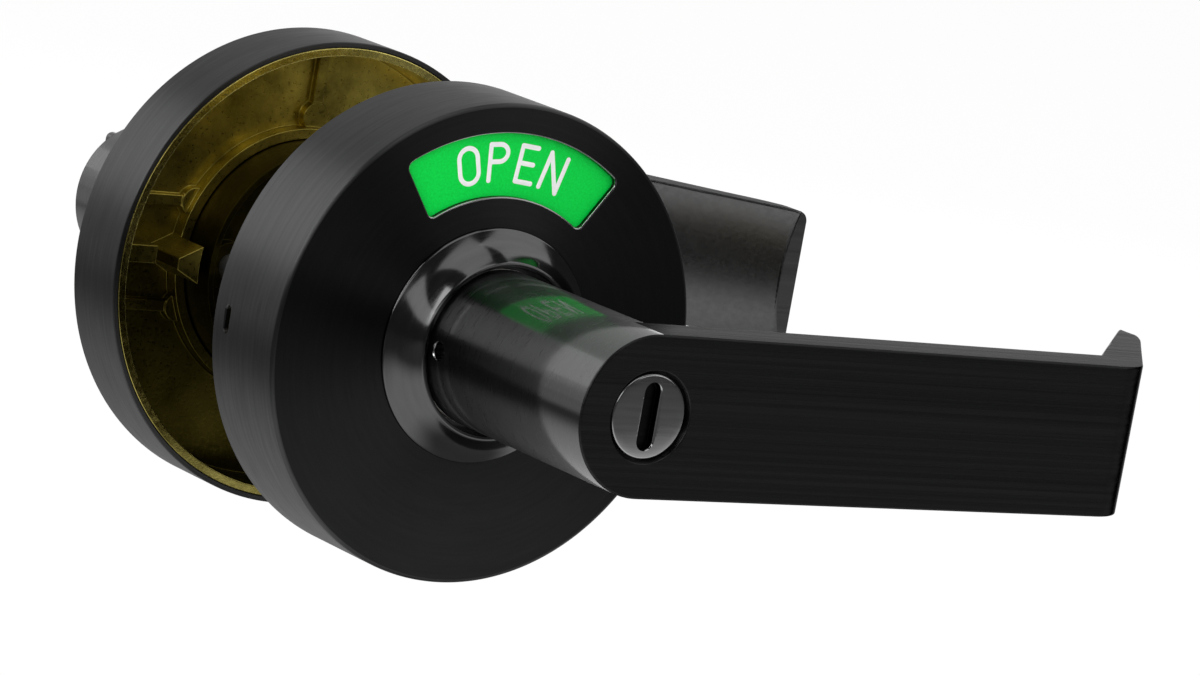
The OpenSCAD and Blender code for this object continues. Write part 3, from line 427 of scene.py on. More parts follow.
cast_gold = cast_metal("cast_gold", (0.018, 0.015, 0.001), (0.86, 0.69, 0.14), (0.24, 0.42))
# The door rims: a lighter copy of the cast colour, a painted highlight, with less of the painted shade.
cast_rim = cast_metal("cast_rim", (0.06, 0.050, 0.006), (1.0, 0.86, 0.26), (0.18, 0.32), low=0.55)
# The cages: a darker copy of the cast colour, painted shade for their place deep inside.
cast_brown = cast_metal("cast_brown", (0.006, 0.005, 0.0006), (0.10, 0.078, 0.012), (0.28, 0.44))

# %% [markdown]
# Nylon, the grey disc and the printed labels are not metal mirrors. The labels have a fine sparkle in the
# print, as a retro-reflective film has, and the letters are plain white.

# %% Plastics and prints
def plain_finish(name, dark, light, roughness, metallic=0.0, patches=500.0, gloss=0.5):
    look, tree, shader, grain = new_material(name, mottle, Size=patches)
    set_inputs(shader, Metallic=metallic, Specular_IOR_Level=gloss)
    apply_finish(tree, shader, ranged(tree, grain["Patches"], 0, 1), grain["Grain"], (dark, light),
                 roughness, 0.04)
    return look


white_nylon = plain_finish("white_nylon", (0.70, 0.69, 0.65), (0.78, 0.77, 0.73), (0.45, 0.55))
grey_disc = plain_finish("grey_disc", (0.50, 0.51, 0.52), (0.58, 0.59, 0.60), (0.3, 0.4), metallic=1.0)
green_print = plain_finish("green_print", (0.0, 0.58, 0.050), (0.001, 0.70, 0.075), (0.4, 0.55),
                           patches=2600.0, gloss=0.12)
red_print = plain_finish("red_print", (0.42, 0.010, 0.008), (0.58, 0.022, 0.018), (0.35, 0.5),
                         patches=2600.0)
white_print = plain_finish("white_print", (0.84, 0.84, 0.84), (0.9, 0.9, 0.9), (0.4, 0.5))

SLOT_LOOKS = {"black_metal": turned_black, "polished_black": polished_black, "yellow_zinc": cast_gold,
              "zinc_steel": zinc_steel, "spring_steel": spring_steel, "white_nylon": white_nylon,
              "grey_disc": grey_disc, "green_label": green_print, "red_label": red_print}
slot_of = {part["node"]: part["material_slot"] for part in frame["record"]["subparts"]}
for name, node in nodes.items():
    node.data.materials.clear()
    node.data.materials.append(SLOT_LOOKS[slot_of[name]])
print("materials:", len(bpy.data.materials))

# %% [markdown]
# Real edges are never knife-sharp: each has a small round that catches a thin line of light. The outlines
# below are therefore drawn with a radius at each corner, and short flat faces beside the rounds keep the
# shading of the large faces flat.

# %% Outlines with rounded corners
def soften(corners, steps=4):
    """The outline through corners of (across, height, radius), with an arc in place of each corner."""
    smooth = []
    for i, (across, height, radius) in enumerate(corners):
        here = Vector((across, height))
        if not radius:
            smooth.append(here)
            continue
        before = (Vector(corners[i - 1][:2]) - here).normalized()
        after = (Vector(corners[(i + 1) % len(corners)][:2]) - here).normalized()
        half = before.angle(after) / 2
        centre = here + (before + after).normalized() * radius / math.sin(half)
        first = here + before * radius / math.tan(half) - centre
        last = here + after * radius / math.tan(half) - centre
        turn = -first.angle_signed(last)
        smooth += [centre + Matrix.Rotation(turn * step / steps, 2) @ first for step in range(steps + 1)]
    return smooth


def polar(radius, degrees):
    angle = math.radians(degrees)
    return Vector((radius * math.cos(angle), radius * math.sin(angle)))


def arc(centre, radius, start, end, steps=14, high=1.0):
    """Points on an arc from one angle to another, both ends among them. High stretches it upwards."""
    return [Vector(centre) + polar(radius, start + (end - start) * step / steps) * Vector((1, high))
            for step in range(steps + 1)]


def obround(half_width, half_length, grow=0.0, steps=16):
    """A slot's outline with round ends, its length along the second axis."""
    radius, reach = half_width + grow, half_length - half_width
    return arc((0, reach), radius, 0, 180, steps) + arc((0, -reach), radius, 180, 360, steps)


# %% [markdown]
# Two builders make nearly every solid here. A lathe turns an outline round the lock's axis, as the real
# trims are spun on a lathe, and a stack joins outlines at different heights, which suits slots and wings.
# Both give closed meshes, so that one can be cut out of the other.

# %% Lathe and stack
def closed_mesh(name, points, faces):
    shell = bmesh.new()
    corners = [shell.verts.new(point) for point in points]
    for face in faces:
        shell.faces.new([corners[i] for i in face])
    bmesh.ops.remove_doubles(shell, verts=shell.verts, dist=1e-8)
    bmesh.ops.dissolve_degenerate(shell, edges=shell.edges, dist=1e-9)
    loose = [edge for edge in shell.edges if not edge.link_faces]
    bmesh.ops.delete(shell, geom=loose, context="EDGES")
    bmesh.ops.recalc_face_normals(shell, faces=shell.faces)
    mesh = bpy.data.meshes.new(name)
    shell.to_mesh(mesh)
    shell.free()
    return new_object(name, mesh)


def skin(rings, capped):
    """Faces between rings of equally many points, and over the first and last ring if they are capped."""
    size = len(rings[0])
    faces = []
    count = len(rings)
    for ring in range(count - 1 if capped else count):
        a, b = ring * size, (ring + 1) % count * size
        faces += [(a + i, a + (i + 1) % size, b + (i + 1) % size, b + i) for i in range(size)]
    if capped:
        faces += [tuple(range(size)), tuple(range((count - 1) * size, count * size))]
    return [point for ring in rings for point in ring], faces


def lathe(name, side, outline, segments=256):
    """A solid of revolution round the lock's axis, from an outline of radius and height."""
    rings = [[place(side, turn.x * radius, turn.y * radius, height) for radius, height in outline]
             for turn in arc((0, 0), 1, 0, 360, segments)[:-1]]
    return closed_mesh(name, *skin(rings, capped=False))


def stack(name, levels, at):
    """A solid through outlines at several levels; at() says where an outline's point lies in the frame."""
    return closed_mesh(name, *skin([[at(p.x, p.y, level) for p in outline] for outline, level in levels],
                                   capped=True))


# %% [markdown]
# Cutting one solid out of another is Blender's Boolean modifier, applied at once. The mesh that comes out
# is finished the same way for every piece: smooth shading up to a sharp angle, and normals weighted by
# area, so that large faces stay flat and the small rounds take the bend.

# %% Cut, finish and mount a piece
def apply_modifiers(piece):
    graph = bpy.context.evaluated_depsgraph_get()
    mesh = bpy.data.meshes.new_from_object(piece.evaluated_get(graph))
    worn, piece.data = piece.data, mesh
    piece.modifiers.clear()
    bpy.data.meshes.remove(worn)
    mesh.name = piece.name


def carve(piece, cutter, operation="DIFFERENCE"):
    change = piece.modifiers.new("carve", "BOOLEAN")
    change.operation = operation
    change.solver = "EXACT"
    change.object = cutter
    apply_modifiers(piece)
    spent = cutter.data
    bpy.data.objects.remove(cutter)
    bpy.data.meshes.remove(spent)


def finish(piece, looks, body, *replaced, sharp=34, bevel=0.0):
    """Smooths a piece, gives it its materials, and mounts it on its body in place of the CAD nodes."""
    mesh = piece.data
    worn = [face.material_index for face in mesh.polygons]
    mesh.materials.clear()
    for look in looks:
        mesh.materials.append(look)
    mesh.polygons.foreach_set("material_index", [min(index, len(looks) - 1) for index in worn])
    if bevel:
        edge = piece.modifiers.new("edge", "BEVEL")
        edge.width = bevel * MM
        edge.segments = 2
        edge.limit_method = "ANGLE"
        edge.angle_limit = math.radians(40)
        edge.use_clamp_overlap = False
        apply_modifiers(piece)
        mesh = piece.data
    mesh.polygons.foreach_set("use_smooth", [True] * len(mesh.polygons))
    mesh.set_sharp_from_angle(angle=math.radians(sharp))
    weigh = piece.modifiers.new("weigh", "WEIGHTED_NORMAL")
    weigh.keep_sharp = True
    apply_modifiers(piece)
    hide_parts(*replaced)
    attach(piece, body)
    print(piece.name, len(piece.data.polygons), "faces")


# %% [markdown]
# The covers are pressed from sheet, one millimetre thick, with a small round at the rim. The outside one
# has the indicator's window. A pressed window has an edge that rolls in a little, so its cutter is wider
# at the top. Each rim has a narrow slot for a prying tool, on the left as one faces the trim.

# %% Covers
WINDOW_R1, WINDOW_R2, WINDOW_HALF, WINDOW_CORNER = 27.4, 39.0, 35.8, 1.3
PRY_LENGTH, PRY_WIDTH, PRY_LOW, PRY_HEIGHT = 5.0, 1.6, 1.5, 4.4
COVER_HOLE_R, RIM_BAND = 17.06, 0.6


def window_outline(grow):
    """The window's outline, with each side moved out by grow."""
    low, high = WINDOW_R1 + WINDOW_CORNER, WINDOW_R2 - WINDOW_CORNER
    low_a, high_a = (WINDOW_HALF - math.degrees(math.asin(WINDOW_CORNER / radius)) for radius in (low, high))

    def corner(radius, middle, start):
        return arc(polar(radius, middle), WINDOW_CORNER + grow, middle + start, middle + start + 90, 8)

    return (corner(low, 90 - low_a, 180) + corner(high, 90 - high_a, -90)
            + arc((0, 0), WINDOW_R2 + grow, 90 - high_a, 90 + high_a, 64)[1:-1]
            + corner(high, 90 + high_a, 0) + corner(low, 90 + low_a, 90)
            + arc((0, 0), WINDOW_R1 - grow, 90 + low_a, 90 - low_a, 64)[1:-1])


def measure(face, side):
    """A face's middle in millimetres, its height above the door, and its distance from the axis."""
    spot = face.center / MM
    return spot, FACING[side] * spot.y - DOOR_HALF, math.hypot(spot.x, spot.z)


def cover(side):
    depth = DEPTH[side]
    inner = TRIM_R - COVER_T
    piece = lathe(side + "_trim_cover", side, soften([
        (inner, 0, 0.12), (TRIM_R, 0, 0.25), (TRIM_R, depth, 0.7), (COVER_HOLE_R, depth, 0.1),
        (COVER_HOLE_R, depth - COVER_T, 0), (inner, depth - COVER_T, 0.4)]), segments=288)
    pry = stack("pry_cutter", [
        (obround(PRY_WIDTH / 2, PRY_LENGTH / 2, grow), reach)
        for grow, reach in ((0, 42), (0, 44.15), (0.06, 44.3), (0.25, 44.45), (0.3, 46))],
        lambda u, v, reach: place(side, FACING[side] * reach, v - PRY_LOW, PRY_HEIGHT + u))
    carve(piece, pry)
    if side == "outside":
        window = stack("window_cutter", [
            (window_outline(grow), depth + level)
            for grow, level in ((0, -1.6), (0, -0.3), (0.05, -0.15), (0.14, -0.05), (0.3, 0), (0.3, 0.5))],
            upright(side))
        carve(piece, window)
    for face in piece.data.polygons:
        _, height, radius = measure(face, side)
        in_window = WINDOW_R1 - 1 < radius < WINDOW_R2 + 1 and depth - 0.28 < height < depth - 0.001
        on_rim = radius > TRIM_R - RIM_BAND
        # The face gets a darker copy of the rim's black, a painted shade.
        face.material_index = 2 if side == "outside" and in_window else 0 if on_rim else 1
    finish(piece, [turned_black, face_black, coin_metal], "trim", side + "_cover")


for side in DEPTH:
    cover(side)

# %% [markdown]
# A collar flares out from the shank to the cover in one hollow curve. It is polished, not brushed, so its
# whole shape is told by the bands of light in that curve, which is why it gets the most steps.

# %% Collars
FLOOR_TOP = {"outside": 18.4, "inside": 14.5}
COLLAR_R, COLLAR_H, COLLAR_LIP_R, MOUTH_R, SPIGOT_R, BUSH_R = 21.8, 5.4, 16.5, 15.6, 17.0, 12.1


def collar(side):
    depth = DEPTH[side]
    foot, sag, steps = 0.6, 0.45, 40
    run, rise = COLLAR_R - COLLAR_LIP_R, COLLAR_H - foot
    flare = []
    for t in (step / steps for step in range(steps + 1)):
        dip = sag * math.sin(math.pi * t)
        flare.append((COLLAR_R - run * t - dip, depth + foot + rise * t - dip))
    top = depth + COLLAR_H
    foot_edge = [(COLLAR_R, depth), (COLLAR_R, depth + foot - 0.25), (COLLAR_R - 0.05, depth + foot - 0.07)]
    lip = [(COLLAR_LIP_R - 0.03, top), (COLLAR_LIP_R - 0.2, top + 0.08), (MOUTH_R + 0.3, top + 0.08),
           (MOUTH_R + 0.09, top), (MOUTH_R, top - 0.2)]
    outline = [(BUSH_R, FLOOR_TOP[side]), (SPIGOT_R, FLOOR_TOP[side]), (SPIGOT_R, depth), *foot_edge,
               *flare[1:-1], *lip, (MOUTH_R, depth + 1.6), (BUSH_R, depth + 1.6)]
    finish(lathe(side + "_flared_collar", side, outline), [polished_black], "trim", side + "_collar",
           sharp=40)


for side in DEPTH:
    collar(side)

# %% [markdown]
# A lever is a round shank and a flat blade, cast in one and brushed. The blade is a row of sections along
# its length. Each runs from a point of the front to a point of the back, with rounded edges and a gently
# crowned back, so the blade can bend into its return and narrow to its end in one skin.

# %% Blade
BLADE_END_HALF, BLADE_T, BLADE_CROWN = 14.0, 10.1, 2.0
BEND_X, BEND_R, OUTER_A, INNER_A = 103.7, 9.0, 51.7, 46.0
RETURN_X, RETURN_DEPTH, TIP_R, TIP_A, END_CORNER = 106.4, 38.0, 29.0, 76.0, 2.4
FRONT_EDGE, BACK_EDGE, BACK_CORNER = 0.4, 0.5, 6
CROWN_HALF = SHANK_R + 0.5
CROWN_R = (CROWN_HALF ** 2 + BLADE_CROWN ** 2) / (2 * BLADE_CROWN)


def sine(degrees):
    return math.sin(math.radians(degrees))


def cosine(degrees):
    return math.cos(math.radians(degrees))


bend_end = Vector((BEND_X + BEND_R * sine(OUTER_A), -BEND_R * (1 - cosine(OUTER_A))))
tip_depth = TIP_R * (cosine(OUTER_A) - cosine(TIP_A))
tip_run = TIP_R * (sine(TIP_A) - sine(OUTER_A))
slope_fall = RETURN_DEPTH - tip_depth + bend_end.y
REACH = bend_end.x + slope_fall / math.tan(math.radians(OUTER_A)) + tip_run
inner_tip = Vector((RETURN_X + (RETURN_DEPTH - BLADE_T) / math.tan(math.radians(INNER_A)), -RETURN_DEPTH))


def half_height(x):
    """Half the blade's height at a distance from the axis: it narrows evenly, then its corners round off."""
    half = SHANK_R - (SHANK_R - BLADE_END_HALF) * max(x, 0) / REACH
    past = x - (REACH - END_CORNER)
    if past > 0:
        half = min(half, BLADE_END_HALF - END_CORNER + math.sqrt(max(END_CORNER ** 2 - past ** 2, 0)))
    return half


def crown(y):
    return math.sqrt(CROWN_R ** 2 - y ** 2) - CROWN_R + BLADE_CROWN


def blade_sections():
    """Sections as (front point, back point, way the crown bulges, inset), seen from above."""
    down, slanted = Vector((0, -1)), Vector((-sine(INNER_A), -cosine(INNER_A)))
    mitre = Vector((-math.tan(math.radians(INNER_A / 2)), -1))
    inner_corner = Vector((RETURN_X, -BLADE_T))
    rows = [(Vector((x, 0)), Vector((x, -BLADE_T)), down, 0) for x in (0, 8, 16, 40, 70, 95, BEND_X)]
    fronts = arc((BEND_X, -BEND_R), BEND_R, 90, 90 - OUTER_A, 12)[1:]
    slope = Vector((cosine(OUTER_A), -sine(OUTER_A))) * slope_fall / sine(OUTER_A)
    fronts += [bend_end + slope * step / 4 for step in range(1, 4)]
    tip_centre = (REACH - TIP_R * sine(TIP_A), -RETURN_DEPTH - TIP_R * cosine(TIP_A))
    fronts += arc(tip_centre, TIP_R, 90 - OUTER_A, 90 - TIP_A, 10)
    left = len(fronts) - BACK_CORNER
    backs = [Vector((BEND_X, -BLADE_T)).lerp(inner_corner, (i + 1) / BACK_CORNER) for i in range(BACK_CORNER)]
    backs += [inner_corner.lerp(inner_tip, (i + 1) / left) for i in range(left)]
    ways = [down] * (BACK_CORNER - 1) + [mitre] + [slanted] * (left - 1)
    rows += [(*row, 0) for row in zip(fronts, backs, ways)]
    end, before_end = ((fronts[i], backs[i]) for i in (-1, -2))
    for lift, inset in ((0.3, 0), (0.15, 0.04), (0.045, 0.15), (0, 0.3)):
        front, back = (low.lerp(high, lift / (high.y - low.y)) for low, high in zip(end, before_end))
        rows.append((front, back, Vector((-1 / sine(INNER_A), 0)), inset))
    return rows


def section_loop(front, back, bulge, inset):
    """The closed loop of one section, as (x, y, height over the front)."""
    inward = (back - front).normalized()
    half_back = half_height(back.x) - inset
    edge_half, back_fillet = [], []
    for turn in (0, 22.5, 45, 67.5, 90):
        at = front + inward * (FRONT_EDGE * (1 - cosine(turn)) + inset)
        edge_half.append((at, half_height(at.x) - inset - FRONT_EDGE * (1 - sine(turn))))
        y = half_back - BACK_EDGE * (1 - cosine(turn))
        back_fillet.append((back + bulge * crown(y) - inward * (BACK_EDGE * (1 - sine(turn)) + inset), y))
    wall = [edge_half[-1][0].lerp(back_fillet[0][0], step / 5) for step in range(1, 5)]
    flank = edge_half + [(at, half_height(at.x) - inset) for at in wall] + back_fillet
    inner_half = back_fillet[-1][1]
    steps = [inner_half * (1 - 2 * step / 24) for step in range(1, 24)]
    across = [(back + bulge * crown(y) - inward * inset, y) for y in steps]
    loop = flank + across + [(at, -y) for at, y in reversed(flank)]
    return [(at.x, y, at.y) for at, y in loop]


def blade(name, side):
    front = DEPTH[side] + STANDOFF
    rings = [[place(side, x, y, front + height) for x, y, height in section_loop(*row)]
             for row in blade_sections()]
    return closed_mesh(name, *skin(rings, capped=True))


# %% [markdown]
# The shank is turned and joined to the blade, then the bore is cut: wide for the spindle, narrow for the
# stem of the turn piece, and a shallow seat for its head. The small hole in the shank's side lets a pin
# reach the catch. Each hole is a little wider at its mouth, as a deburred edge is.

# %% Levers
FOOT, BORE_TOP, RELEASE_AT, STEM_BACK, TURN_SEAT = 2.7, 37.0, 7.6, 11.2, 3.2
SPINDLE_IN, STEM_HOLE_R, TURN_HOLE_R, RELEASE_R, FLARE_FROM = 8.4, 5.56, 8.25, 1.6, 14.3


def lever(side):
    depth = DEPTH[side]
    front = depth + STANDOFF
    name = side + "_lever_casting"
    piece = lathe(name, side, soften([(0, depth + FOOT, 0), (SHANK_R, depth + FOOT, 0.3),
                                      (SHANK_R, front, FRONT_EDGE), (0, front, 0)]))
    carve(piece, blade("blade", side), "UNION")
    carve(piece, lathe("bore_cutter", side, [
        (0, depth), (SPINDLE_R, depth), (SPINDLE_R, depth + BORE_TOP), (SPINDLE_IN, depth + BORE_TOP),
        (SPINDLE_IN, front - STEM_BACK), (STEM_HOLE_R, front - STEM_BACK), (STEM_HOLE_R, front - TURN_SEAT),
        (TURN_HOLE_R, front - TURN_SEAT), *((TURN_HOLE_R + out, front - deep) for out, deep in (
            (0, 0.3), (0.02, 0.19), (0.09, 0.09), (0.19, 0.02), (0.3, 0), (0.3, -1))), (0, front + 1)]))
    hole = stack("release_cutter", [
        (arc((0, 0), radius, 0, 360, 48)[:-1], reach)
        for radius, reach in ((RELEASE_R, 9), (RELEASE_R, 14.35), (RELEASE_R + 0.1, 14.55),
                              (RELEASE_R + 0.45, 14.75), (RELEASE_R + 0.45, 16))],
        lambda u, v, reach: place(side, -reach, v, depth + RELEASE_AT + u))
    carve(piece, hole)
    turned_from = front - BLADE_T - BLADE_CROWN
    for face in piece.data.polygons:
        spot, height, radius = measure(face, side)
        on_shank = abs(face.normal.y) < 0.3 and radius < SHANK_R + 0.02 and height < front - FRONT_EDGE
        inside_blade = spot.x > 0 and height > turned_from and radius > SHANK_R - 0.5
        faces_door = FACING[side] * face.normal.y < -0.3 and radius > SHANK_R + 0.02
        beside_hole = math.hypot(spot.z, height - depth - RELEASE_AT) < RELEASE_R + 0.5
        in_flare = beside_hole and spot.x < 0 and FLARE_FROM < radius and abs(face.normal.x) < 0.97
        # Faces towards the door get the lighter copy of the blade's black, painted light.
        face.material_index = 3 if in_flare else 2 if faces_door else int(inside_blade or not on_shank)
    finish(piece, [shank_black, blade_black, back_black, coin_metal], side + "_handle", side + "_lever",
           sharp=30)


for side in DEPTH:
    lever(side)

# %% [markdown]
# Both turn pieces have the same back: a round head that sits in the lever's face, and a stem with a groove
# for its clip and a socket for the bar. Outside, the head is a low polished dome with a coin's slot;
# inside, it carries an upright wing for finger and thumb.

# %% Turn pieces
HEAD_R, HEAD_T, STEM_R, STEM_END, CLIP_AT, CLIP_T, GROOVE = 7.7, 3.15, 5.5, 13.9, 12.3, 0.8, 0.7
DOME_RISE, DOME_SINK, COIN_LENGTH, COIN_WIDTH, COIN_DEPTH = 0.4, 0.2, 12.0, 3.2, 1.7
WING_H, WING_T, WING_L, WING_CORNER, WING_EDGE = 21.0, 5.6, 13.0, 1.4, 1.1
BAR_W, BAR_T, BAR_HOLD = 6.1, 2.5, 8.0


def turn_body(name, side, rise):
    """The head and stem, with a dome of the given rise on the head."""
    front = DEPTH[side] + STANDOFF
    dome_r = (HEAD_R ** 2 + DOME_RISE ** 2) / (2 * DOME_RISE)
    edge = 0.45
    outline = soften([(radius, front - deep, bend) for radius, deep, bend in (
        (0, STEM_END, 0), (STEM_R, STEM_END, 0.3), (STEM_R, CLIP_AT, 0), (STEM_R - GROOVE, CLIP_AT, 0),
        (STEM_R - GROOVE, CLIP_AT - CLIP_T, 0), (STEM_R, CLIP_AT - CLIP_T, 0), (STEM_R, HEAD_T, 0),
        (HEAD_R, HEAD_T, 0.2))])
    outline += arc((HEAD_R - edge, front - DOME_SINK - rise - edge + 0.03), edge, 0, 90, 5)
    for step in range(1, 13):
        radius = (HEAD_R - edge) * (1 - step / 12)
        outline.append(Vector((radius, front - DOME_SINK + rise * (
            math.sqrt(dome_r ** 2 - radius ** 2) - dome_r) / DOME_RISE)))
    piece = lathe(name, side, outline, segments=192)
    socket = stack("socket_cutter", [
        ([Vector((x * BAR_T / 2, y * BAR_W / 2)) for x, y in SQUARE], front + level)
        for level in (-STEM_END - 1, -STEM_END + BAR_HOLD)], upright(side))
    carve(piece, socket)
    return piece


coin = turn_body("coin_turn_head", "outside", DOME_RISE)
face_at = DEPTH["outside"] + STANDOFF
carve(coin, stack("coin_cutter", [
    (obround(COIN_WIDTH / 2, COIN_LENGTH / 2, grow), face_at + level)
    for grow, level in ((-0.2, -1.9), (-0.1, -1.85), (-0.05, -0.8), (0.04, -0.62), (0.16, -0.45),
                        (0.34, -0.3), (0.56, -0.18), (0.7, 0.5))], upright("outside")))
# Painted shade: the deep part of the slot gets the near-black copy.
for face in coin.data.polygons:
    spot, height, _ = measure(face, "outside")
    in_slot = abs(spot.x) < COIN_WIDTH / 2 + 0.1 and abs(spot.z) < COIN_LENGTH / 2 + 0.1
    face.material_index = int(in_slot and face_at - COIN_DEPTH - 0.3 < height < face_at - 0.66)
finish(coin, [coin_metal, slot_dark], "coin", "coin_turn", sharp=40)

thumb = turn_body("thumb_turn_head", "inside", 0.02)
wing_base = DEPTH["inside"] + STANDOFF


def wing_outline(inset):
    """The wing seen from its end: a block with rounded corners."""
    wide, high, corner = WING_T / 2 - inset, WING_H / 2 - inset, WING_CORNER - inset
    outline = []
    for quarter, (u, v) in enumerate(((1, 1), (-1, 1), (-1, -1), (1, -1))):
        middle = (u * (wide - corner), v * (high - corner))
        outline += arc(middle, corner, 90 * quarter, 90 * quarter + 90, 6)
    return outline


wing_levels = [(wing_outline(0), wing_base + 0.05)]
wing_levels += [(wing_outline(WING_EDGE * (1 - cosine(turn))),
                 wing_base + WING_L - WING_EDGE * (1 - sine(turn))) for turn in range(0, 91, 15)]
wing_foot = obround(WING_T / 2, HEAD_R - 0.6)
carve(thumb, stack("wing", wing_levels, upright("inside")), "UNION")
carve(thumb, stack("wing_foot", [(wing_foot, wing_base - 1), (wing_foot, wing_base + 1)],
                   upright("inside")), "UNION")
finish(thumb, [polished_black], "turn", "thumb_turn", sharp=40)

# %% [markdown]
# Geometry Nodes turn lines into solids: a spring is a wire swept along a coil, and a printed letter is a
# thick stroke swept along its strokes. One helper starts such a tree with named inputs, and another runs
# it on a drawn line and keeps the plain mesh that comes out.

# %% Geometry Nodes helpers
def start_tree(name, *numbers):
    """A tree from a drawn line and some numbers to a solid with a finish."""
    tree = bpy.data.node_groups.new(name, "GeometryNodeTree")
    sockets = [("Line", "Geometry"), *((label, "Float") for label in numbers), ("Finish", "Material")]
    for label, kind in sockets:
        tree.interface.new_socket(name=label, in_out="INPUT", socket_type="NodeSocket" + kind)
    tree.interface.new_socket(name="Solid", in_out="OUTPUT", socket_type="NodeSocketGeometry")
    return tree, tree.nodes.new("NodeGroupInput"), tree.nodes.new("NodeGroupOutput")


def end_tree(tree, solid, given, result):
    """The last two nodes of every tree: real geometry instead of instances, and the material."""
    real = tree.nodes.new("GeometryNodeRealizeInstances")
    paint = tree.nodes.new("GeometryNodeSetMaterial")
    join(tree, solid, real.inputs[0], real.outputs[0], paint.inputs["Geometry"],
         given.outputs["Finish"], paint.inputs["Material"], paint.outputs[0], result.inputs["Solid"])


def line_object(name, lines):
    """Drawn lines as edges: each is a list of points, closed if it ends where it starts."""
    points, edges = [], []
    for line in lines:
        closed = (line[0] - line[-1]).length < 1e-7
        own = line[:-1] if closed else line
        first = len(points)
        points += own
        edges += [(first + i, first + i + 1) for i in range(len(own) - 1)]
        if closed:
            edges.append((first + len(own) - 1, first))
    mesh = bpy.data.meshes.new(name)
    mesh.from_pydata(points, edges, [])
    return new_object(name, mesh)


def run_tree(piece, tree, **values):
    change = piece.modifiers.new("make", "NODES")
    change.node_group = tree
    for item in tree.interface.items_tree:
        name = item.name.replace(" ", "_")
        if item.in_out == "INPUT" and name in values:
            change[item.identifier] = values[name]
    apply_modifiers(piece)


# %% [markdown]
# The return springs are wound from round wire: two turns, with a leg at each end that lies beside the
# drive plate's tab. The path is computed, and the tree sweeps the wire along it.

# %% Return springs
WIRE_R, COIL_R, LEG_R, LEG_OFF, LEG_BEND, BEND_A = 0.6, 12.7, 19.5, 2.7, 1.2, 6.78
SPRING_RISE = 3.46
SPRING_LOW = {"outside": 7.636, "inside": 6.836}


def spring_line(side):
    def leg(way, height):
        middle = (way * (LEG_OFF - LEG_BEND), COIL_R + LEG_BEND + 0.2)
        return [(way * LEG_OFF, LEG_R - LEG_BEND * i / 4, height) for i in range(3)] + [
            (*spot, height) for spot in arc(middle, LEG_BEND, 90 - 90 * way, 90 - 165 * way, 5)]

    turns = arc((0, 0), COIL_R, 90 - BEND_A, 810 + BEND_A, 120)
    coil = [(*spot, SPRING_RISE * i / 120) for i, spot in enumerate(turns)][2:119]
    path = leg(1, 0) + coil + leg(-1, SPRING_RISE)[::-1]
    return [place(side, x, y, SPRING_LOW[side] + height) for x, y, height in path]


def sweep_line(tree, line, radius, corners):
    """A round section swept along the drawn line. Returns the line as a curve, and the solid."""
    to_curve = tree.nodes.new("GeometryNodeMeshToCurve")
    ring = add_node(tree, "GeometryNodeCurvePrimitiveCircle", Resolution=corners)
    sweep = add_node(tree, "GeometryNodeCurveToMesh", Fill_Caps=True)
    join(tree, line, to_curve.inputs[0], radius, ring.inputs["Radius"],
         to_curve.outputs[0], sweep.inputs["Curve"], ring.outputs[0], sweep.inputs["Profile Curve"])
    return to_curve.outputs[0], sweep.outputs[0]


wire_tree, given, result = start_tree("wound_wire", "Wire Radius")
_, wire = sweep_line(wire_tree, given.outputs["Line"], given.outputs["Wire Radius"], 14)
end_tree(wire_tree, wire, given, result)

for side in DEPTH:
    spring = line_object(side + "_return_spring", [spring_line(side)])
    run_tree(spring, wire_tree, Wire_Radius=WIRE_R * MM, Finish=spring_steel)
    finish(spring, [spring_steel], "trim", side + "_spring", sharp=50)

# %% [markdown]
# The indicator shows a green label while the room is free and a red one while it is taken. Each is a thin
# film on the grey disc, with plain white words. Each letter is drawn as a few strokes, stands upright on
# the ring's middle line, and is thickened by a tree that also rounds its ends.

# %% Indicator labels
SECTOR_LOW, SECTOR_TOP, SECTOR_R1, SECTOR_R2, SECTOR_HALF = 19.7, 19.9, 26.6, 39.8, 39.8
LETTER_H, LETTER_W, STROKE_R, STROKE_FLAT, LETTER_BASE = 6.6, 3.9, 0.47, 0.1, 30.2
FILM_EDGE, STROKE_SUNK, DOT_SIZE = 0.05, 0.01, 1.01
NARROW = {" ": 0.55, "I": 0.62}


def sector_outline(middle, grow=0.0, steps=64):
    """The label's outline between two radii, round its middle angle."""
    start, end = middle - SECTOR_HALF, middle + SECTOR_HALF
    return (arc((0, 0), SECTOR_R2 + grow, start, end, steps)
            + arc((0, 0), SECTOR_R1 - grow, end, start, steps))


def straight(*points):
    return [Vector(point) for point in points]


W, H = LETTER_W, LETTER_H
bowl = H * 0.24
LETTERS = {
    "O": [arc((W / 2, H - W / 2), W / 2, 0, 180) + arc((W / 2, W / 2), W / 2, 180, 360)
          + straight((W, H - W / 2))],
    "P": [straight((0.2, 0), (0.2, H)),
          straight((0.2, H)) + arc((W * 0.55, H - bowl), W * 0.45, 90, -90, high=bowl / (W * 0.45))
          + straight((0.2, H - 2 * bowl))],
    "E": [straight((0.3, 0), (0.3, H)), straight((0.3, 0), (W - 0.2, 0)), straight((0.3, H), (W - 0.2, H)),
          straight((0.3, H * 0.52), (W - 0.6, H * 0.52))],
    "N": [straight((0, 0), (0, H)), straight((0, H), (W, 0)), straight((W, 0), (W, H))],
    "I": [straight((W / 2, 0), (W / 2, H))],
    "U": [straight((0, H)) + arc((W / 2, W / 2), W / 2, 180, 360) + straight((W, H))],
    "S": [arc((W / 2, H - W * 0.46), W * 0.46, 20, 205) + arc((W / 2, W * 0.46), W * 0.46, 15, -160)],
}


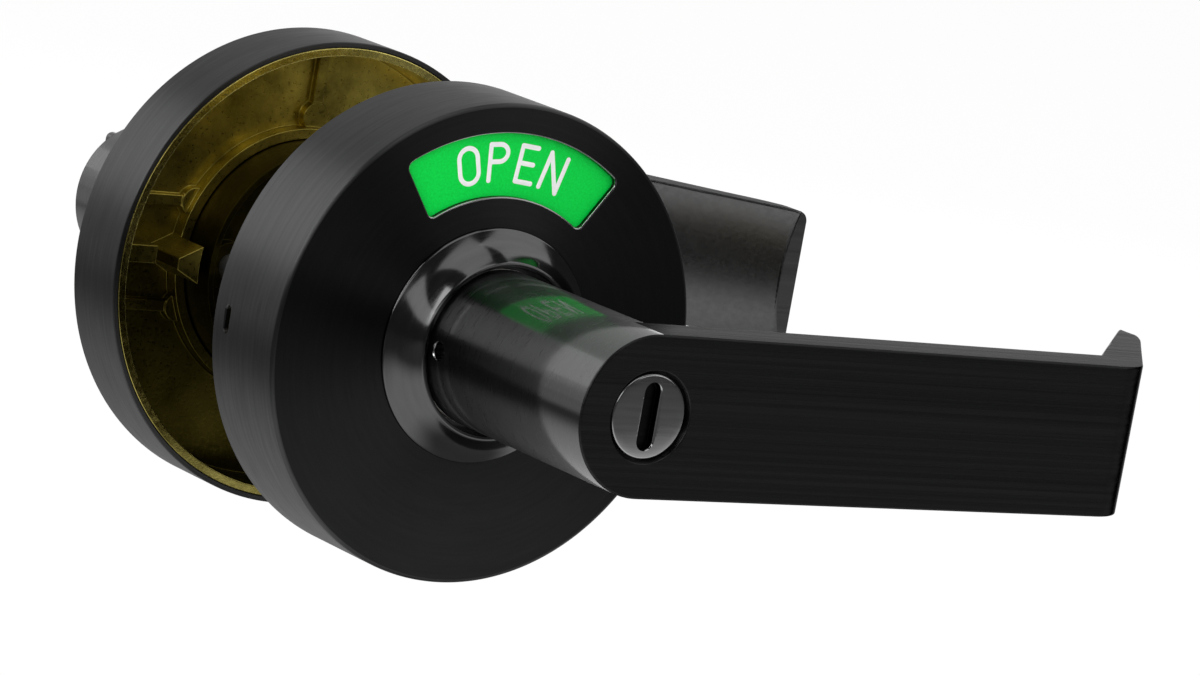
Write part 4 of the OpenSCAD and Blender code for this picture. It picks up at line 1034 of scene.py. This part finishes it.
def word_lines(word, middle, pitch):
    """The strokes of a word, each letter turned to stand on the ring, read clockwise."""
    steps = [NARROW.get(letter, 1.0) for letter in word]
    lines = []
    along = -sum(steps) / 2
    for letter, step in zip(word, steps):
        spot = along + step / 2
        along += step
        turn = Matrix.Rotation(math.radians(middle - 90 - spot * pitch), 2)
        lines += [[(turn @ Vector((p.x - W / 2, p.y + LETTER_BASE))).to_3d() for p in line]
                  for line in LETTERS.get(letter, ())]
    return lines


stroke_tree, given, result = start_tree("printed_strokes", "Stroke Radius", "Flatness")
thickness = given.outputs["Stroke Radius"]
curve, stroke = sweep_line(stroke_tree, given.outputs["Line"], thickness, 16)
ends = stroke_tree.nodes.new("GeometryNodeCurveEndpointSelection")
ball = add_node(stroke_tree, "GeometryNodeMeshUVSphere", Segments=20, Rings=10)
dots = stroke_tree.nodes.new("GeometryNodeInstanceOnPoints")
real_dots = stroke_tree.nodes.new("GeometryNodeRealizeInstances")
weld = stroke_tree.nodes.new("GeometryNodeMeshBoolean")
weld.operation, weld.solver = "UNION", "EXACT"
set_inputs(weld, Self_Intersection=True)
flat = stroke_tree.nodes.new("GeometryNodeTransform")
squeeze = add_node(stroke_tree, "ShaderNodeCombineXYZ", X=1.0, Y=1.0)
join(stroke_tree, curve, dots.inputs["Points"], ends.outputs[0], dots.inputs["Selection"],
     ball.outputs["Mesh"], dots.inputs["Instance"],
     times(stroke_tree, thickness, DOT_SIZE), ball.inputs["Radius"],
     dots.outputs[0], real_dots.inputs[0], stroke, weld.inputs["Mesh 2"],
     real_dots.outputs[0], weld.inputs["Mesh 2"], weld.outputs["Mesh"], flat.inputs["Geometry"],
     given.outputs["Flatness"], squeeze.inputs["Z"], squeeze.outputs[0], flat.inputs["Scale"])
end_tree(stroke_tree, flat.outputs[0], given, result)


def label(name, word, middle, look, node, pitch):
    """One label with its word, which lies flat on the film, under a twentieth of a millimetre proud."""
    film = stack(name, [
        (sector_outline(middle), SECTOR_LOW), (sector_outline(middle), SECTOR_TOP - FILM_EDGE),
        (sector_outline(middle, -FILM_EDGE), SECTOR_TOP)], upright("outside"))
    finish(film, [look], "indicator", node)
    words = line_object(name + "_word", word_lines(word, middle, pitch))
    run_tree(words, stroke_tree, Stroke_Radius=STROKE_R, Flatness=STROKE_FLAT, Finish=white_print)
    for vertex in words.data.vertices:
        x, y, rise = vertex.co
        vertex.co = place("outside", x, y, SECTOR_TOP - STROKE_SUNK + max(rise, 0))
    finish(words, [white_print], "indicator", node, sharp=60)


label("open_label", "OPEN", 90, green_print, "open_sector", 10.6)
label("in_use_label", "IN USE", 0, red_print, "in_use_sector", 9.6)

# %% [markdown]
# The bases and cages are castings, full of bosses, ribs and webs. Their shape is right in the CAD, only
# its edges are sharp. So each is a merged copy of the CAD mesh with a small bevel on every edge. The rims
# that rest on the door are ground flat and a little smoother, and their lighter colour is a painted
# highlight.

# %% Castings
DOOR_PLANE_WITHIN = 0.1
BASE_EDGE, CAGE_EDGE = 0.22, 0.12
WELD_WITHIN = 2e-6


def casting(node, edge, looks):
    shell = bmesh.new()
    shell.from_mesh(nodes[node].data)
    bmesh.ops.remove_doubles(shell, verts=shell.verts, dist=WELD_WITHIN)
    bmesh.ops.dissolve_limit(shell, angle_limit=math.radians(1), verts=shell.verts, edges=shell.edges)
    mesh = bpy.data.meshes.new(node + "_casting")
    for face in shell.faces:
        off_the_door = abs(abs(face.calc_center_median().y) - DOOR_HALF * MM)
        # Faces on the door's plane get the rim's lighter colour, a painted highlight.
        face.material_index = int(abs(face.normal.y) > 0.9 and off_the_door < DOOR_PLANE_WITHIN * MM)
    shell.to_mesh(mesh)
    shell.free()
    finish(new_object(mesh.name, mesh), looks, "trim", node, bevel=edge, sharp=50)


for side in DEPTH:
    casting(side + "_base", BASE_EDGE, [cast_gold, cast_rim])
    # The cages get the darker copy of the cast colour, painted shade.
    casting(side + "_cage", CAGE_EDGE, [cast_brown])
